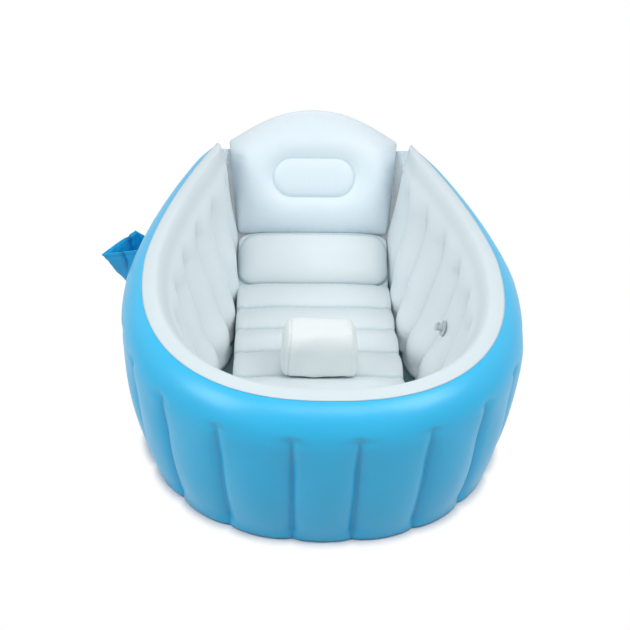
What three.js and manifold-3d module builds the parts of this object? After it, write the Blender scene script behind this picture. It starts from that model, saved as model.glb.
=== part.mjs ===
// Inflatable baby bathtub in welded vinyl sheet, in millimetres, +Z up.
// The foot end is at -Y and the backrest at +Y. The origin is on the floor, under the middle of the tub.
import * as THREE from "three";
import { mergeVertices } from "three/addons/utils/BufferGeometryUtils.js";
import Module from "manifold-3d";

const wasm = await Module();
wasm.setup();

// Sheet and joints
const sheet = 0.5; // vinyl thickness
const gap = 0.3; // left between two welded sheets
const lapWidth = 6; // width of a lap weld
const flangeWidth = 8; // width of a weld flange
const overrun = 4; // how far a cut runs past what it cuts

// Rim, the seam between the white and the blue sheet, seen from above
const rimHalfWidth = 290;
const rimFootReach = 382; // from the widest point to the foot
const rimCornerBack = 11; // of the corners beside the backrest, behind its foot
const rimCornerOut = 25; // of those corners, beyond the backrest's shoulders
const seatSideRoom = 140; // from the rim seam in to the seat's sides
const widestY = -67;
const footExponent = 2.33;
const headExponent = 1.5;
const rimFootHeight = 245;
const rimCornerHeight = 300;
const riseExponent = 1.5;
const rimSamples = 600;

// Wall section, measured outwards from the rim seam
const crownInset = 20;
const rollRise = 66; // half height of the free tube under the rim
const outerBulge = 36;
const outerFootReach = 6;
const innerShoulderReach = 62;
const innerFootRoom = 22; // from the inner sheet's foot to the seat's sides, where the tub is widest
const innerFootReach = seatSideRoom - innerFootRoom;
const shoulderShare = 0.8; // of the inner foot's reach, where the wall is narrow
const outerFootLift = 0.65; // of the outer sheet's flange above the floor
const outerBowPower = 2.2;
const innerBowPower = 1.25;
const outerEndShare = 0.3; // of the section, left at the two wall ends
const innerEndShare = 0.55;
const weldsPerSide = 10;
const firstWeldRight = 36; // along the rim, from the middle of the foot
const firstWeldLeft = 51;
const endBayRight = 82.96413748; // along the rim, behind the last weld
const endBayLeft = 46.96413748;
const outerGrooveDepth = 12;
const innerGrooveDepth = 11;
const outerGrooveDrop = 46; // below the rim seam
const outerGrooveRampHeight = 34;
const webInset = 2;
const leastMitreShare = 0.5;
const baseMargin = 3; // of the base sheet, outside the wall

// Seat chamber: floor tubes, hip tube and lumbar pad
const seatHalfWidth = rimHalfWidth - seatSideRoom;
const drainWallRoom = 39; // from the inner sheet's foot to the drain's axis
const drainSeatRoom = 55; // from that axis to the seat
const drainY = widestY - rimFootReach + innerFootReach + drainWallRoom;
const seatFootY = drainY + drainSeatRoom;
const floorTubes = 5;
const tubePitch = 80;
const floorHeight = 54;
const creaseDepth = 9;
const seatFootSwell = 6;
const tubeSamples = 5;
const lumbarSamples = 7;
const tubePower = 0.55;
const hipRun = 84;
const hipRise = 6;
const hipBulge = 5;
const lumbarRun = 66;
const lumbarRise = 78;
const lumbarBulge = 15;
const seatCrown = 4;
const seatAcrossShares = [-1, -0.97, -0.88, -0.62, 0, 0.62, 0.88, 0.97, 1];
const seatEdgePower = 3;
const seatSideShare = 0.35; // share of the height where the side turns over
const seatPinchShare = 0.975; // share of the width left at a crease
const seatFrontShare = 0.93; // share of the width left at the foot end
const seatRearRun = 32; // from the lumbar pad's crest to the rear face
const seatRearShares = [[0.5, 0.17], [1, 1]]; // of that run: how far back, and how far down

// Backrest
const backRecline = THREE.MathUtils.degToRad(65);
const backFootSetback = 28; // of its lower weld edge, behind the lumbar pad's crest
const backFootY = seatFootY + floorTubes * tubePitch + hipRun + lumbarRun + backFootSetback;
const rimCornerReach = backFootY + rimCornerBack - widestY;
const backFootHeight = 113;
const backHalfWidthLow = seatHalfWidth;
const backShoulderFlare = 18; // of each side, from the foot to the shoulder
const backHalfWidthShoulder = backHalfWidthLow + backShoulderFlare;
const backShoulderHeight = 187; // of the two upper corners, up the backrest
const backHeight = 249;
const backCornerRadius = 26;
const backFrontBulge = 58;
const backRearBulge = 46;
const padWidth = 160;
const padHeight = 76;
const padMiddleHeight = 114;
const padWeldDepth = 12;
const domeShares = [[0.775, 0.32], [0.475, 1]]; // of the way in and up from an upper corner
const backPower = 2.6;
const backRays = 40;
const backSideRays = 12; // of a half's rays, those up to its upper corner
const frontRingShares = [
  { inPad: 0.45, outPad: null, sink: 0 },
  { inPad: 0.8, outPad: null, sink: 0.25 },
  { inPad: 1, outPad: null, sink: 1 },
  { inPad: 1, outPad: 0.1, sink: 0.3 },
  { inPad: 1, outPad: 0.3, sink: 0 },
  { inPad: 1, outPad: 0.55, sink: 0 },
  { inPad: 1, outPad: 0.78, sink: 0 },
  { inPad: 1, outPad: 0.93, sink: 0 },
  { inPad: 1, outPad: 1, sink: 0 },
];
const rearShares = [0.95, 0.8, 0.55, 0.25];

// Rear panel, the clear sheet that closes the tub behind the backrest
const rearBaseReach = 42;
const rearTopReach = 132;
const rearTopHeight = 292;
const rearTopSag = 46;
const rearSagPower = 2.6;
const rearEndPullShare = 0.75;
const rearMiddlePullShare = 0.8;
const rearRows = 4;
const rearColumns = 7;

// Saddle
const saddleWidth = 134;
const saddleDepth = 78;
const saddleHeight = 84;
const saddleRun = 171; // from the seat's foot end to the saddle's middle
const saddleY = seatFootY + saddleRun;
const saddleDome = 5;
const saddlePower = 3.4;
const saddleRays = 32;
const saddleProfileShares = [
  [0.9, 0],
  [0.97, 0.06],
  [1, 0.32],
  [1, 0.6],
  [0.96, 0.82],
  [0.84, 0.95],
  [0.6, 1.02],
  [0.3, 1.05],
];

// Pouch on the left outer wall. Its front is towards the foot end.
const pouchBay = 7; // the bay whose first weld lies behind the pouch
const pouchSheet = 0.8;
const pouchFlangeWidth = 7;
const pouchFrontReach = 54; // from that weld to the front side seam
const pouchWidth = 98; // between its side seams
const pouchDepth = 68; // of the front corner of its mouth
const pouchMouthHeight = 210;
const pouchFootHeight = 88;
// Corners of the mouth and the foot, from the front: shares of the width, the depth and the height.
const pouchMouthShares = [
  { along: 0, out: 0, drop: 0 },
  { along: -0.194, out: 1, drop: 0.05 },
  { along: 0.908, out: 0.632, drop: 0.082 },
  { along: 1, out: 0, drop: 0.311 },
];
const pouchFootShares = [
  { along: 0.102, out: 0.015, drop: 1 },
  { along: 0.388, out: 0.118, drop: 1 },
  { along: 0.878, out: 0.103, drop: 1 },
  { along: 0.959, out: 0.015, drop: 1 },
];
const pouchPanelColumns = [4, 5, 3];
const pouchRows = 6;

// Air valves
const valveFlangeRadius = 14;
const valveFlangeThickness = 0.9;
const stemRadius = 5.6;
const stemBoreRadius = 4.4;
const stemHeight = 11;
const stemTailLength = 5; // inside the chamber
const plugSeatRadius = stemBoreRadius - gap;
const plugTipRadius = 3;
const plugLength = 5;
const capRadius = 6.6;
const capThickness = 1.6;
const capHingeReach = 9.6; // from the stem's axis to the strap's bend
const strapWidth = 4;
const strapThickness = 1;
const lugHeight = 3;
const flapRadius = 5.1;
const flapThickness = 0.6;
const valveSides = 20;
const pocketRadius = 7;
const pocketDepth = 14;
const valveSink = 0.7; // of a valve's flat seat into the chamber's round surface
const wallValveBay = 5;
const saddleValveShare = 0.5;
const backValveHeight = 205;
const tangentShare = 0.005; // of the rear's profile, for its slope at the valve

// Drain
const drainFlangeRadius = 21;
const drainFlangeThickness = 1;
const drainCollarRadius = 14;
const drainBoreRadius = 11;
const drainHeight = 6;
const drainPlugTaper = 0.4; // of the plug's radius, down to its tip
const drainPlugTipRadius = drainBoreRadius - gap - drainPlugTaper;
const drainPlugLength = 5.4;
const drainCapRadius = 15.5;
const drainCapThickness = 2.2;
const drainHingeReach = 24;
const drainStrapWidth = 8;
const drainRingRadius = 7;
const drainWireRadius = 1.6;
const drainSides = 28;
const wireSides = 6;

const blue = new THREE.MeshStandardMaterial({ color: 0x3fb1e6, roughness: 0.38, metalness: 0 });
const white = new THREE.MeshStandardMaterial({ color: 0xe3edf2, roughness: 0.42, metalness: 0 });
const cream = new THREE.MeshStandardMaterial({ color: 0xeef1ee, roughness: 0.45, metalness: 0 });
const clear = new THREE.MeshStandardMaterial({ color: 0xdcebf2, roughness: 0.2, metalness: 0 });
const valveClear = new THREE.MeshStandardMaterial({ color: 0xd5dde2, roughness: 0.25, metalness: 0 });

const tub = new THREE.Group();

function add(parent, name, geometry, material) {
  const mesh = new THREE.Mesh(geometry, material);
  mesh.name = name;
  parent.add(mesh);
  return mesh;
}

// Solids and cuts

function positionsOnly(geometry) {
  const plain = new THREE.BufferGeometry();
  const source = geometry.index ? geometry.toNonIndexed() : geometry;
  plain.setAttribute("position", source.getAttribute("position").clone());
  return plain;
}

function toSolid(geometry) {
  const merged = mergeVertices(positionsOnly(geometry), 1e-4);
  return new wasm.Manifold(
    new wasm.Mesh({
      numProp: 3,
      vertProperties: merged.attributes.position.array,
      triVerts: new Uint32Array(merged.index.array),
    }),
  );
}

function toGeometry(solid) {
  const made = solid.getMesh();
  const geometry = new THREE.BufferGeometry();
  geometry.setAttribute("position", new THREE.BufferAttribute(made.vertProperties, 3));
  geometry.setIndex(new THREE.BufferAttribute(made.triVerts, 1));
  return geometry;
}

function cut(geometry, ...tools) {
  return toGeometry(tools.reduce((solid, tool) => solid.subtract(toSolid(tool)), toSolid(geometry)));
}

function join(geometry, ...others) {
  return toGeometry(others.reduce((solid, other) => solid.add(toSolid(other)), toSolid(geometry)));
}

// A closed geometry from triangles, with its faces turned outwards and its empty triangles dropped.
function closed(points, triangles) {
  const geometry = new THREE.BufferGeometry().setFromPoints(points);
  geometry.setIndex(triangles);
  const merged = mergeVertices(geometry, 1e-4);
  const index = merged.index.array;
  const place = merged.attributes.position;
  const kept = [];
  let volume = 0;
  const [a, b, c] = [new THREE.Vector3(), new THREE.Vector3(), new THREE.Vector3()];
  for (let i = 0; i < index.length; i += 3) {
    const [p, q, r] = [index[i], index[i + 1], index[i + 2]];
    if (p === q || q === r || r === p) continue;
    kept.push(p, q, r);
    volume += a.fromBufferAttribute(place, p).dot(
      b.fromBufferAttribute(place, q).cross(c.fromBufferAttribute(place, r)),
    );
  }
  merged.setIndex(volume < 0 ? kept.reverse() : kept);
  return merged;
}

// The normals of a grid of points, one for each point.
function gridNormals(rows) {
  const columns = rows[0].length;
  const geometry = new THREE.BufferGeometry().setFromPoints(rows.flat());
  const triangles = [];
  for (let i = 0; i + 1 < rows.length; i++) {
    for (let j = 0; j + 1 < columns; j++) {
      const [a, d] = [i * columns + j, (i + 1) * columns + j];
      triangles.push(a, a + 1, d + 1, a, d + 1, d);
    }
  }
  geometry.setIndex(triangles);
  geometry.computeVertexNormals();
  const normal = geometry.attributes.normal;
  return rows.map((row, i) =>
    row.map((_, j) => new THREE.Vector3().fromBufferAttribute(normal, i * columns + j)),
  );
}

// Triangles of a skin: a grid of points over a second one, with the four edges closed.
function skin(rows, columns, count) {
  const triangles = [];
  const quad = (a, b, c, d) => triangles.push(a, b, c, a, c, d);
  for (let i = 0; i + 1 < rows; i++) {
    for (let j = 0; j + 1 < columns; j++) {
      const [a, d] = [i * columns + j, (i + 1) * columns + j];
      quad(a, a + 1, d + 1, d);
      quad(count + a, count + d, count + d + 1, count + a + 1);
    }
    const [a, d] = [i * columns, (i + 1) * columns];
    const [b, c] = [a + columns - 1, d + columns - 1];
    quad(a, d, count + d, count + a);
    quad(c, b, count + b, count + c);
  }
  const foot = (rows - 1) * columns;
  for (let j = 0; j + 1 < columns; j++) {
    quad(j + 1, j, count + j, count + j + 1);
    quad(foot + j, foot + j + 1, count + foot + j + 1, count + foot + j);
  }
  return triangles;
}

// A sheet of vinyl under a grid of points, from the depth "near" to the depth "far" on one side of it.
function sheetOn(rows, near, far, side) {
  const normals = gridNormals(rows);
  const moved = (depth) =>
    rows.flatMap((row, i) => row.map((p, j) => p.clone().addScaledVector(normals[i][j], -depth * side)));
  return closed([...moved(near), ...moved(far)], skin(rows.length, rows[0].length, rows.flat().length));
}

// A disc, tube or cone about Z from z0 to z1.
function turned(profile, sides = valveSides) {
  const made = new THREE.LatheGeometry(profile.map(([r, z]) => new THREE.Vector2(r, z)), sides);
  return made.rotateX(Math.PI / 2);
}

function cylinder(radius, z0, z1, sides = valveSides) {
  return turned([[0, z0], [radius, z0], [radius, z1], [0, z1]], sides);
}

function block(width, depth, height, x, y, z) {
  return new THREE.BoxGeometry(width, depth, height).translate(x, y, z);
}

// Rim curve

const rimTable = (() => {
  const points = [];
  const cornerShare = (backHalfWidthShoulder + rimCornerOut) / rimHalfWidth;
  const rimHeadReach = rimCornerReach / (1 - cornerShare ** headExponent) ** (1 / headExponent);
  for (let i = 0; i <= rimSamples; i++) {
    const angle = (Math.PI / 2) * (1 - i / rimSamples);
    const power = 2 / footExponent;
    points.push([rimHalfWidth * Math.cos(angle) ** power, widestY - rimFootReach * Math.sin(angle) ** power]);
  }
  const power = 2 / headExponent;
  const endAngle = Math.asin((rimCornerReach / rimHeadReach) ** (1 / power));
  for (let i = 1; i <= rimSamples; i++) {
    const angle = (endAngle * i) / rimSamples;
    points.push([rimHalfWidth * Math.cos(angle) ** power, widestY + rimHeadReach * Math.sin(angle) ** power]);
  }
  let run = 0;
  return points.map(([x, y], i) => {
    if (i) run += Math.hypot(x - points[i - 1][0], y - points[i - 1][1]);
    return { x, y, run };
  });
})();
const rimRun = rimTable.at(-1).run; // from the middle of the foot to a corner
const lastWeldRight = rimRun - endBayRight;
const lastWeldLeft = rimRun - endBayLeft;

function rimPoint(run) {
  const wanted = Math.min(Math.abs(run), rimRun);
  let high = rimTable.findIndex((entry) => entry.run >= wanted);
  high = Math.max(high, 1);
  const [a, b] = [rimTable[high - 1], rimTable[high]];
  const share = (wanted - a.run) / (b.run - a.run);
  return [Math.sign(run || 1) * (a.x + (b.x - a.x) * share), a.y + (b.y - a.y) * share];
}

// Where the rim is at a run from the foot, with its outward and onward directions.
function rimAt(run) {
  const reach = rimRun / rimSamples;
  const [x, y] = rimPoint(run);
  const [x0, y0] = rimPoint(Math.max(run - reach, -rimRun));
  const [x1, y1] = rimPoint(Math.min(run + reach, rimRun));
  const onward = new THREE.Vector3(x1 - x0, y1 - y0, 0).normalize();
  const outward = new THREE.Vector3(onward.y, -onward.x, 0);
  const rise = (y - widestY + rimFootReach) / (rimCornerReach + rimFootReach);
  const height = rimFootHeight + (rimCornerHeight - rimFootHeight) * Math.max(rise, 0) ** riseExponent;
  return { run, point: new THREE.Vector3(x, y, 0), outward, onward, height };
}

const weldRunsFrom = (first, last) =>
  Array.from({ length: weldsPerSide }, (_, i) => THREE.MathUtils.lerp(first, last, i / (weldsPerSide - 1)));
const weldRuns = {
  right: weldRunsFrom(firstWeldRight, lastWeldRight),
  left: weldRunsFrom(firstWeldLeft, lastWeldLeft),
};

// Along the wall, every column of the sheets: 1 in pinch at a weld and 0 at the middle of a bay.
const bayShares = [0, 0.14, 0.5, 0.86];
const endShares = [0, 0.3, 0.6, 0.85, 1];
const bayPinch = (share) => 1 - Math.sqrt(Math.sin(Math.PI * share));
const stationsFrom = (runs) => {
  const stations = [];
  for (const [i, from] of runs.slice(0, -1).entries()) {
    for (const share of bayShares) {
      stations.push({ run: from + (runs[i + 1] - from) * share, pinch: bayPinch(share) });
    }
  }
  for (const share of endShares) {
    stations.push({ run: THREE.MathUtils.lerp(runs.at(-1), rimRun, share), pinch: bayPinch(share / 2) });
  }
  return stations;
};
const wallStations = (() => {
  const left = stationsFrom(weldRuns.left).map(({ run, pinch }) => ({ run: -run, pinch }));
  const middle = bayShares.slice(1).map((share) => ({
    run: THREE.MathUtils.lerp(-weldRuns.left[0], weldRuns.right[0], share),
    pinch: bayPinch(share),
  }));
  return [...left.reverse(), ...middle, ...stationsFrom(weldRuns.right)];
})();

function sectionShare(run, endShare) {
  const lastWeld = run < 0 ? lastWeldLeft : lastWeldRight;
  const past = Math.max(0, Math.abs(run) - lastWeld) / (rimRun - lastWeld);
  return endShare + (1 - endShare) * Math.sqrt(Math.max(0, 1 - past * past));
}

// How far the inner wall's foot reaches in, which stops short of the seat's sides and of its foot end.
function innerReach({ point, outward }) {
  const clearance = 2 * gap + sheet;
  const halfWidth = seatHalfWidth * (point.y > seatFootY ? 1 : seatFrontShare);
  const beside = (Math.abs(point.x) - halfWidth - clearance) / Math.abs(outward.x || 1);
  const before = outward.y < 0 ? (seatFootY - seatFootSwell - clearance - point.y) / -outward.y : 0;
  return Math.min(innerFootReach, Math.max(beside, before));
}

const seamAngle = Math.asin(crownInset / (crownInset + outerBulge));
const degrees = THREE.MathUtils.degToRad;
const smooth = (value, from, to) => THREE.MathUtils.smoothstep(value, from, to);

// Rows of the outer sheet: angles round the free tube, then shares of the height down to the floor.
const lapAngle = seamAngle - lapWidth / rollRise;
const outerAngles = [seamAngle, degrees(48), degrees(84)];
const lowerShares = [0.2, 0.5, 0.8, 0.95, 1];

function outerAt(place, pinch, angle, down) {
  const share = sectionShare(place.run, outerEndShare);
  const middle = place.height - rollRise * Math.cos(seamAngle);
  let n = (crownInset + outerBulge) * Math.sin(angle) - crownInset;
  let z = middle + rollRise * Math.cos(angle);
  if (down > 0) {
    n = outerFootReach + (outerBulge - outerFootReach) * (1 - down ** outerBowPower);
    z = middle + (outerFootLift - middle) * down;
  }
  const depth = place.height - z;
  n -= outerGrooveDepth * pinch * smooth(depth, outerGrooveDrop, outerGrooveDrop + outerGrooveRampHeight);
  return { n: n * share, z };
}

// Rows of the inner sheet, from the seam over the crown and down to the floor.
const innerAngles = [seamAngle, lapAngle, degrees(-12), degrees(-50), degrees(-90)];
const innerShares = [0.22, 0.5, 0.8, 1];
const innerFade = degrees(70);

function innerAt(place, pinch, angle, down) {
  const fade = down > 0 ? 1 : smooth(-angle, 0, innerFade);
  const share = sectionShare(place.run, THREE.MathUtils.lerp(outerEndShare, innerEndShare, fade));
  const middle = place.height - rollRise * Math.cos(seamAngle);
  const reach = innerReach(place);
  const shoulder = Math.min(innerShoulderReach, reach * shoulderShare);
  const half = angle < 0 ? shoulder - crownInset : crownInset + outerBulge;
  let n = half * Math.sin(angle) - crownInset;
  let z = middle + rollRise * Math.cos(angle);
  if (down > 0) {
    n = -shoulder - (reach - shoulder) * down ** innerBowPower;
    z = middle + (sheet + gap - middle) * down;
  }
  n += innerGrooveDepth * pinch * fade;
  return { n: n * share, z };
}

function onWall(place, { n, z }) {
  return place.point.clone().addScaledVector(place.outward, n).setZ(z);
}

function wallColumns() {
  return wallStations.map(({ run, pinch }) => ({ place: rimAt(run), pinch }));
}

function outerWallSheet() {
  const columns = wallColumns();
  const rows = [];
  for (const angle of [lapAngle, ...outerAngles]) {
    rows.push(columns.map(({ place, pinch }) => onWall(place, outerAt(place, pinch, angle, 0))));
  }
  for (const down of lowerShares) {
    rows.push(columns.map(({ place, pinch }) => onWall(place, outerAt(place, pinch, 0, down))));
  }
  rows.push(
    columns.map(({ place, pinch }) => {
      const foot = outerAt(place, pinch, 0, 1);
      return onWall(place, { n: foot.n - flangeWidth * sectionShare(place.run, outerEndShare), z: foot.z });
    }),
  );
  return sheetOn(rows, gap + sheet, gap + 2 * sheet, -1);
}

function innerWallSheet() {
  const columns = wallColumns();
  const rows = innerAngles.map((angle) =>
    columns.map(({ place, pinch }) => onWall(place, innerAt(place, pinch, angle, 0))),
  );
  for (const down of innerShares) {
    rows.push(columns.map(({ place, pinch }) => onWall(place, innerAt(place, pinch, degrees(-90), down))));
  }
  rows.push(
    columns.map(({ place, pinch }) => {
      const foot = innerAt(place, pinch, degrees(-90), 1);
      return onWall(place, { n: foot.n + flangeWidth * sectionShare(place.run, innerEndShare), z: foot.z });
    }),
  );
  // From the floor up, so that the two sheets' triangles run the same way in the lap.
  return sheetOn(rows.reverse(), 0, sheet, -1);
}

// A web joins the two wall sheets at a weld. Its outline is the wall's section, drawn in.
function webAt(run, pinch, inset) {
  const place = rimAt(run);
  const outer = [
    ...outerAngles.map((angle) => outerAt(place, pinch, angle, 0)),
    ...lowerShares.map((down) => outerAt(place, pinch, 0, down)),
  ];
  const inner = [
    ...innerAngles.slice(1).map((angle) => innerAt(place, pinch, angle, 0)),
    ...innerShares.map((down) => innerAt(place, pinch, degrees(-90), down)),
  ].reverse();
  const loop = [...outer, ...inner].map(({ n, z }) => new THREE.Vector2(n, z));
  const outline = drawnIn(loop, inset);
  const plate = new THREE.ExtrudeGeometry(new THREE.Shape(outline), { depth: sheet, bevelEnabled: false });
  plate.translate(0, 0, -sheet / 2);
  const basis = new THREE.Matrix4().makeBasis(
    place.outward,
    new THREE.Vector3(0, 0, 1),
    place.outward.clone().cross(new THREE.Vector3(0, 0, 1)),
  );
  return plate.applyMatrix4(basis.setPosition(place.point));
}

// The plate that closes the wall where it stops beside the backrest.
function wallEnd(sign) {
  const { onward } = rimAt(sign * rimRun);
  const { x, y } = onward.clone().multiplyScalar(sign * (sheet / 2 + gap));
  return webAt(sign * rimRun, 0, 0).translate(x, y, 0);
}

// A closed loop of points moved inwards by a depth. The loop runs clockwise.
function drawnIn(loop, depth) {
  return loop.map((point, i) => {
    const before = loop.at(i - 1);
    const after = loop[(i + 1) % loop.length];
    const one = point.clone().sub(before).normalize();
    const two = after.clone().sub(point).normalize();
    const first = new THREE.Vector2(one.y, -one.x);
    const second = new THREE.Vector2(two.y, -two.x);
    const mean = first.clone().add(second).normalize();
    const reach = depth / Math.max(mean.dot(first), leastMitreShare);
    return point.clone().addScaledVector(mean, reach);
  });
}

// Rear panel: one sheet from wall end to wall end, passing behind the backrest.
function rearColumn(across, heightShare) {
  const side = Math.sign(across) || 1;
  const end = rimAt(rimRun);
  const away = end.onward.clone().multiplyScalar(2 * gap + sheet);
  const start = end.point.clone().add(away);
  const reach = THREE.MathUtils.lerp(rearBaseReach, rearTopReach, heightShare);
  const far = rimPoint(rimRun)[1] + reach;
  const curve = new THREE.CubicBezierCurve(
    new THREE.Vector2(start.x, start.y),
    new THREE.Vector2(start.x, start.y).addScaledVector(
      new THREE.Vector2(end.onward.x, end.onward.y),
      reach * rearEndPullShare,
    ),
    new THREE.Vector2(start.x * rearMiddlePullShare, far),
    new THREE.Vector2(0, far),
  );
  const spot = curve.getPoint(1 - Math.abs(across));
  const sag = rearTopSag * (1 - Math.abs(across) ** rearSagPower);
  const low = sheet + gap;
  return new THREE.Vector3(side * spot.x, spot.y, low + (rearTopHeight - sag - low) * heightShare);
}

function rearPanel() {
  const rows = [];
  for (let i = 0; i <= rearRows; i++) {
    const row = [];
    for (let j = -rearColumns; j <= rearColumns; j++) {
      row.push(rearColumn(j / rearColumns, 1 - i / rearRows));
    }
    rows.push(row);
  }
  return sheetOn(rows, 0, sheet, 1);
}

function baseOutline() {
  const points = wallColumns().map(({ place, pinch }) => {
    const foot = outerAt(place, pinch, 0, 1);
    return onWall(place, { n: foot.n + baseMargin, z: 0 });
  });
  const closing = [];
  for (let j = rearColumns - 1; j > -rearColumns; j--) closing.push(rearColumn(j / rearColumns, 0));
  return [...points, ...closing].map((p) => new THREE.Vector2(p.x, p.y));
}

function baseSheet() {
  const shape = new THREE.Shape(baseOutline());
  const hole = new THREE.Path().absarc(0, drainY, drainBoreRadius, 0, 2 * Math.PI, true);
  shape.holes.push(hole);
  const curveSegments = valveSides / 2;
  return new THREE.ExtrudeGeometry(shape, { depth: sheet, bevelEnabled: false, curveSegments });
}

// Seat chamber

// The top of the seat as seen from the side, from the foot end to the rear.
function seatTop() {
  const points = [];
  const floorZ = sheet + gap;
  const tube = (y0, z0, y1, z1, bulge, samples) => {
    const along = new THREE.Vector2(y1 - y0, z1 - z0);
    const up = new THREE.Vector2(-along.y, along.x).normalize();
    for (let i = 1; i <= samples; i++) {
      const share = i / samples;
      const swell = bulge * Math.sin(Math.PI * share) ** tubePower;
      points.push(new THREE.Vector2(y0, z0).addScaledVector(along, share).addScaledVector(up, swell));
    }
  };
  const low = floorHeight - creaseDepth;
  points.push(new THREE.Vector2(seatFootY - seatFootSwell, floorZ));
  points.push(new THREE.Vector2(seatFootY - seatFootSwell, floorZ + low / 2));
  points.push(new THREE.Vector2(seatFootY, low));
  for (let k = 0; k < floorTubes; k++) {
    tube(seatFootY + k * tubePitch, low, seatFootY + (k + 1) * tubePitch, low, creaseDepth, tubeSamples);
  }
  const hipY = seatFootY + floorTubes * tubePitch;
  const hipEnd = hipY + hipRun;
  tube(hipY, low, hipEnd, low + hipRise, hipBulge + creaseDepth, tubeSamples);
  const crestY = hipEnd + lumbarRun;
  const crestZ = low + hipRise + lumbarRise;
  tube(hipEnd, low + hipRise, crestY, crestZ, lumbarBulge, lumbarSamples);
  for (const [back, down] of seatRearShares) {
    points.push(new THREE.Vector2(crestY + seatRearRun * back, crestZ - seatRearRun * down));
  }
  points.push(new THREE.Vector2(crestY + seatRearRun, floorZ));
  return points;
}

function seatChamber() {
  const floorZ = sheet + gap;
  const tops = seatTop();
  const rows = tops.map((p, i) => {
    const near = tops[Math.min(Math.max(i, 1), tops.length - 2)];
    const sunk = THREE.MathUtils.clamp((floorHeight - near.y) / creaseDepth, 0, 1);
    const past = THREE.MathUtils.clamp((p.x - tops[0].x) / (tubePitch / 2), 0, 1);
    const front = THREE.MathUtils.lerp(1, seatFrontShare, (1 - past) * (1 - past));
    const halfWidth = seatHalfWidth * front * THREE.MathUtils.lerp(1, seatPinchShare, sunk);
    return seatAcrossShares.map((u) => {
      const edge = (1 - Math.abs(u) ** seatEdgePower) ** (1 / seatEdgePower);
      const crown = p.y > floorZ ? seatCrown * (1 - u * u) : 0;
      const z = floorZ + (p.y + crown - floorZ) * (seatSideShare + (1 - seatSideShare) * edge);
      return new THREE.Vector3(u * halfWidth, p.x, z);
    });
  });
  return slabUnder(rows, floorZ);
}

// A solid from a grid of points down to a flat floor.
function slabUnder(rows, floorZ) {
  const points = rows.flat();
  const below = points.map((p) => p.clone().setZ(floorZ));
  return closed([...points, ...below], skin(rows.length, rows[0].length, points.length));
}

// Backrest

// The backrest's outline from the middle of its lower edge, round the right side to the top and back.
function backOutline(count, grow) {
  const [low, top] = [-grow, backHeight + grow];
  const [wide, full] = [backHalfWidthLow + grow, backHalfWidthShoulder + grow];
  const flare = (full - wide) / backShoulderHeight;
  const side = new THREE.Path();
  side.moveTo(0, low);
  side.lineTo(wide - backCornerRadius, low);
  side.quadraticCurveTo(wide, low, wide + backCornerRadius * flare, backCornerRadius);
  side.lineTo(full, backShoulderHeight);
  const dome = new THREE.Path();
  dome.moveTo(full, backShoulderHeight);
  const handles = domeShares.flatMap(([wideShare, upShare]) => [
    full * wideShare,
    THREE.MathUtils.lerp(backShoulderHeight, top, upShare),
  ]);
  dome.bezierCurveTo(...handles, 0, top);
  const half = [
    ...side.getSpacedPoints(backSideRays).slice(0, -1),
    ...dome.getSpacedPoints(count / 2 - backSideRays),
  ];
  const mirrored = half.slice(1, -1).reverse().map((p) => new THREE.Vector2(-p.x, p.y));
  return [...half.slice(0, -1), new THREE.Vector2(0, top), ...mirrored];
}

function stadium(count) {
  const straight = (padWidth - padHeight) / 2;
  const outline = backOutline(count, 0);
  return outline.map((p) => {
    const ray = new THREE.Vector2(p.x, p.y - padMiddleHeight);
    const unit = ray.clone().normalize();
    const round = padHeight / 2;
    if (Math.abs(unit.x) * round <= straight * Math.abs(unit.y)) {
      return unit.multiplyScalar(round / Math.abs(unit.y));
    }
    const along = straight * Math.abs(unit.x);
    return unit.multiplyScalar(along + Math.sqrt(along * along - straight * straight + round * round));
  });
}

function backPoint(a, b, height) {
  const [cos, sin] = [Math.cos(backRecline), Math.sin(backRecline)];
  return new THREE.Vector3(a, backFootY + b * cos - height * sin, backFootHeight + b * sin + height * cos);
}

// The pillow: rings from its middle out to the edge weld on the front, and back in on the rear.
function backrest(grow) {
  const outline = backOutline(backRays, grow);
  const pad = stadium(backRays);
  const swell = (share, bulge) => (bulge + grow) * (1 - share ** backPower) ** (1 / 2);
  const rings = [];
  const shareOf = (j, inPad, outPad) => {
    const [p, edge] = [pad[j], new THREE.Vector2(outline[j].x, outline[j].y - padMiddleHeight)];
    return outPad === null ? p.clone().multiplyScalar(inPad) : p.clone().lerp(edge, outPad);
  };
  const heightAt = (point, j, bulge) => {
    const edge = new THREE.Vector2(outline[j].x, outline[j].y - padMiddleHeight);
    return swell(Math.min(1, point.length() / edge.length()), bulge);
  };
  for (const { inPad, outPad, sink } of frontRingShares) {
    rings.push(
      outline.map((_, j) => {
        const spot = shareOf(j, inPad, outPad);
        const height = heightAt(spot, j, backFrontBulge) - padWeldDepth * sink;
        return backPoint(spot.x, spot.y + padMiddleHeight, height);
      }),
    );
  }
  for (const share of rearShares) {
    rings.push(
      outline.map((p) => {
        const spot = new THREE.Vector2(p.x, p.y - padMiddleHeight).multiplyScalar(share);
        return backPoint(spot.x, spot.y + padMiddleHeight, -swell(share, backRearBulge));
      }),
    );
  }
  const front = backPoint(0, padMiddleHeight, backFrontBulge + grow);
  const rear = backPoint(0, padMiddleHeight, -backRearBulge - grow);
  return ringed(rings, front, rear);
}

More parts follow.
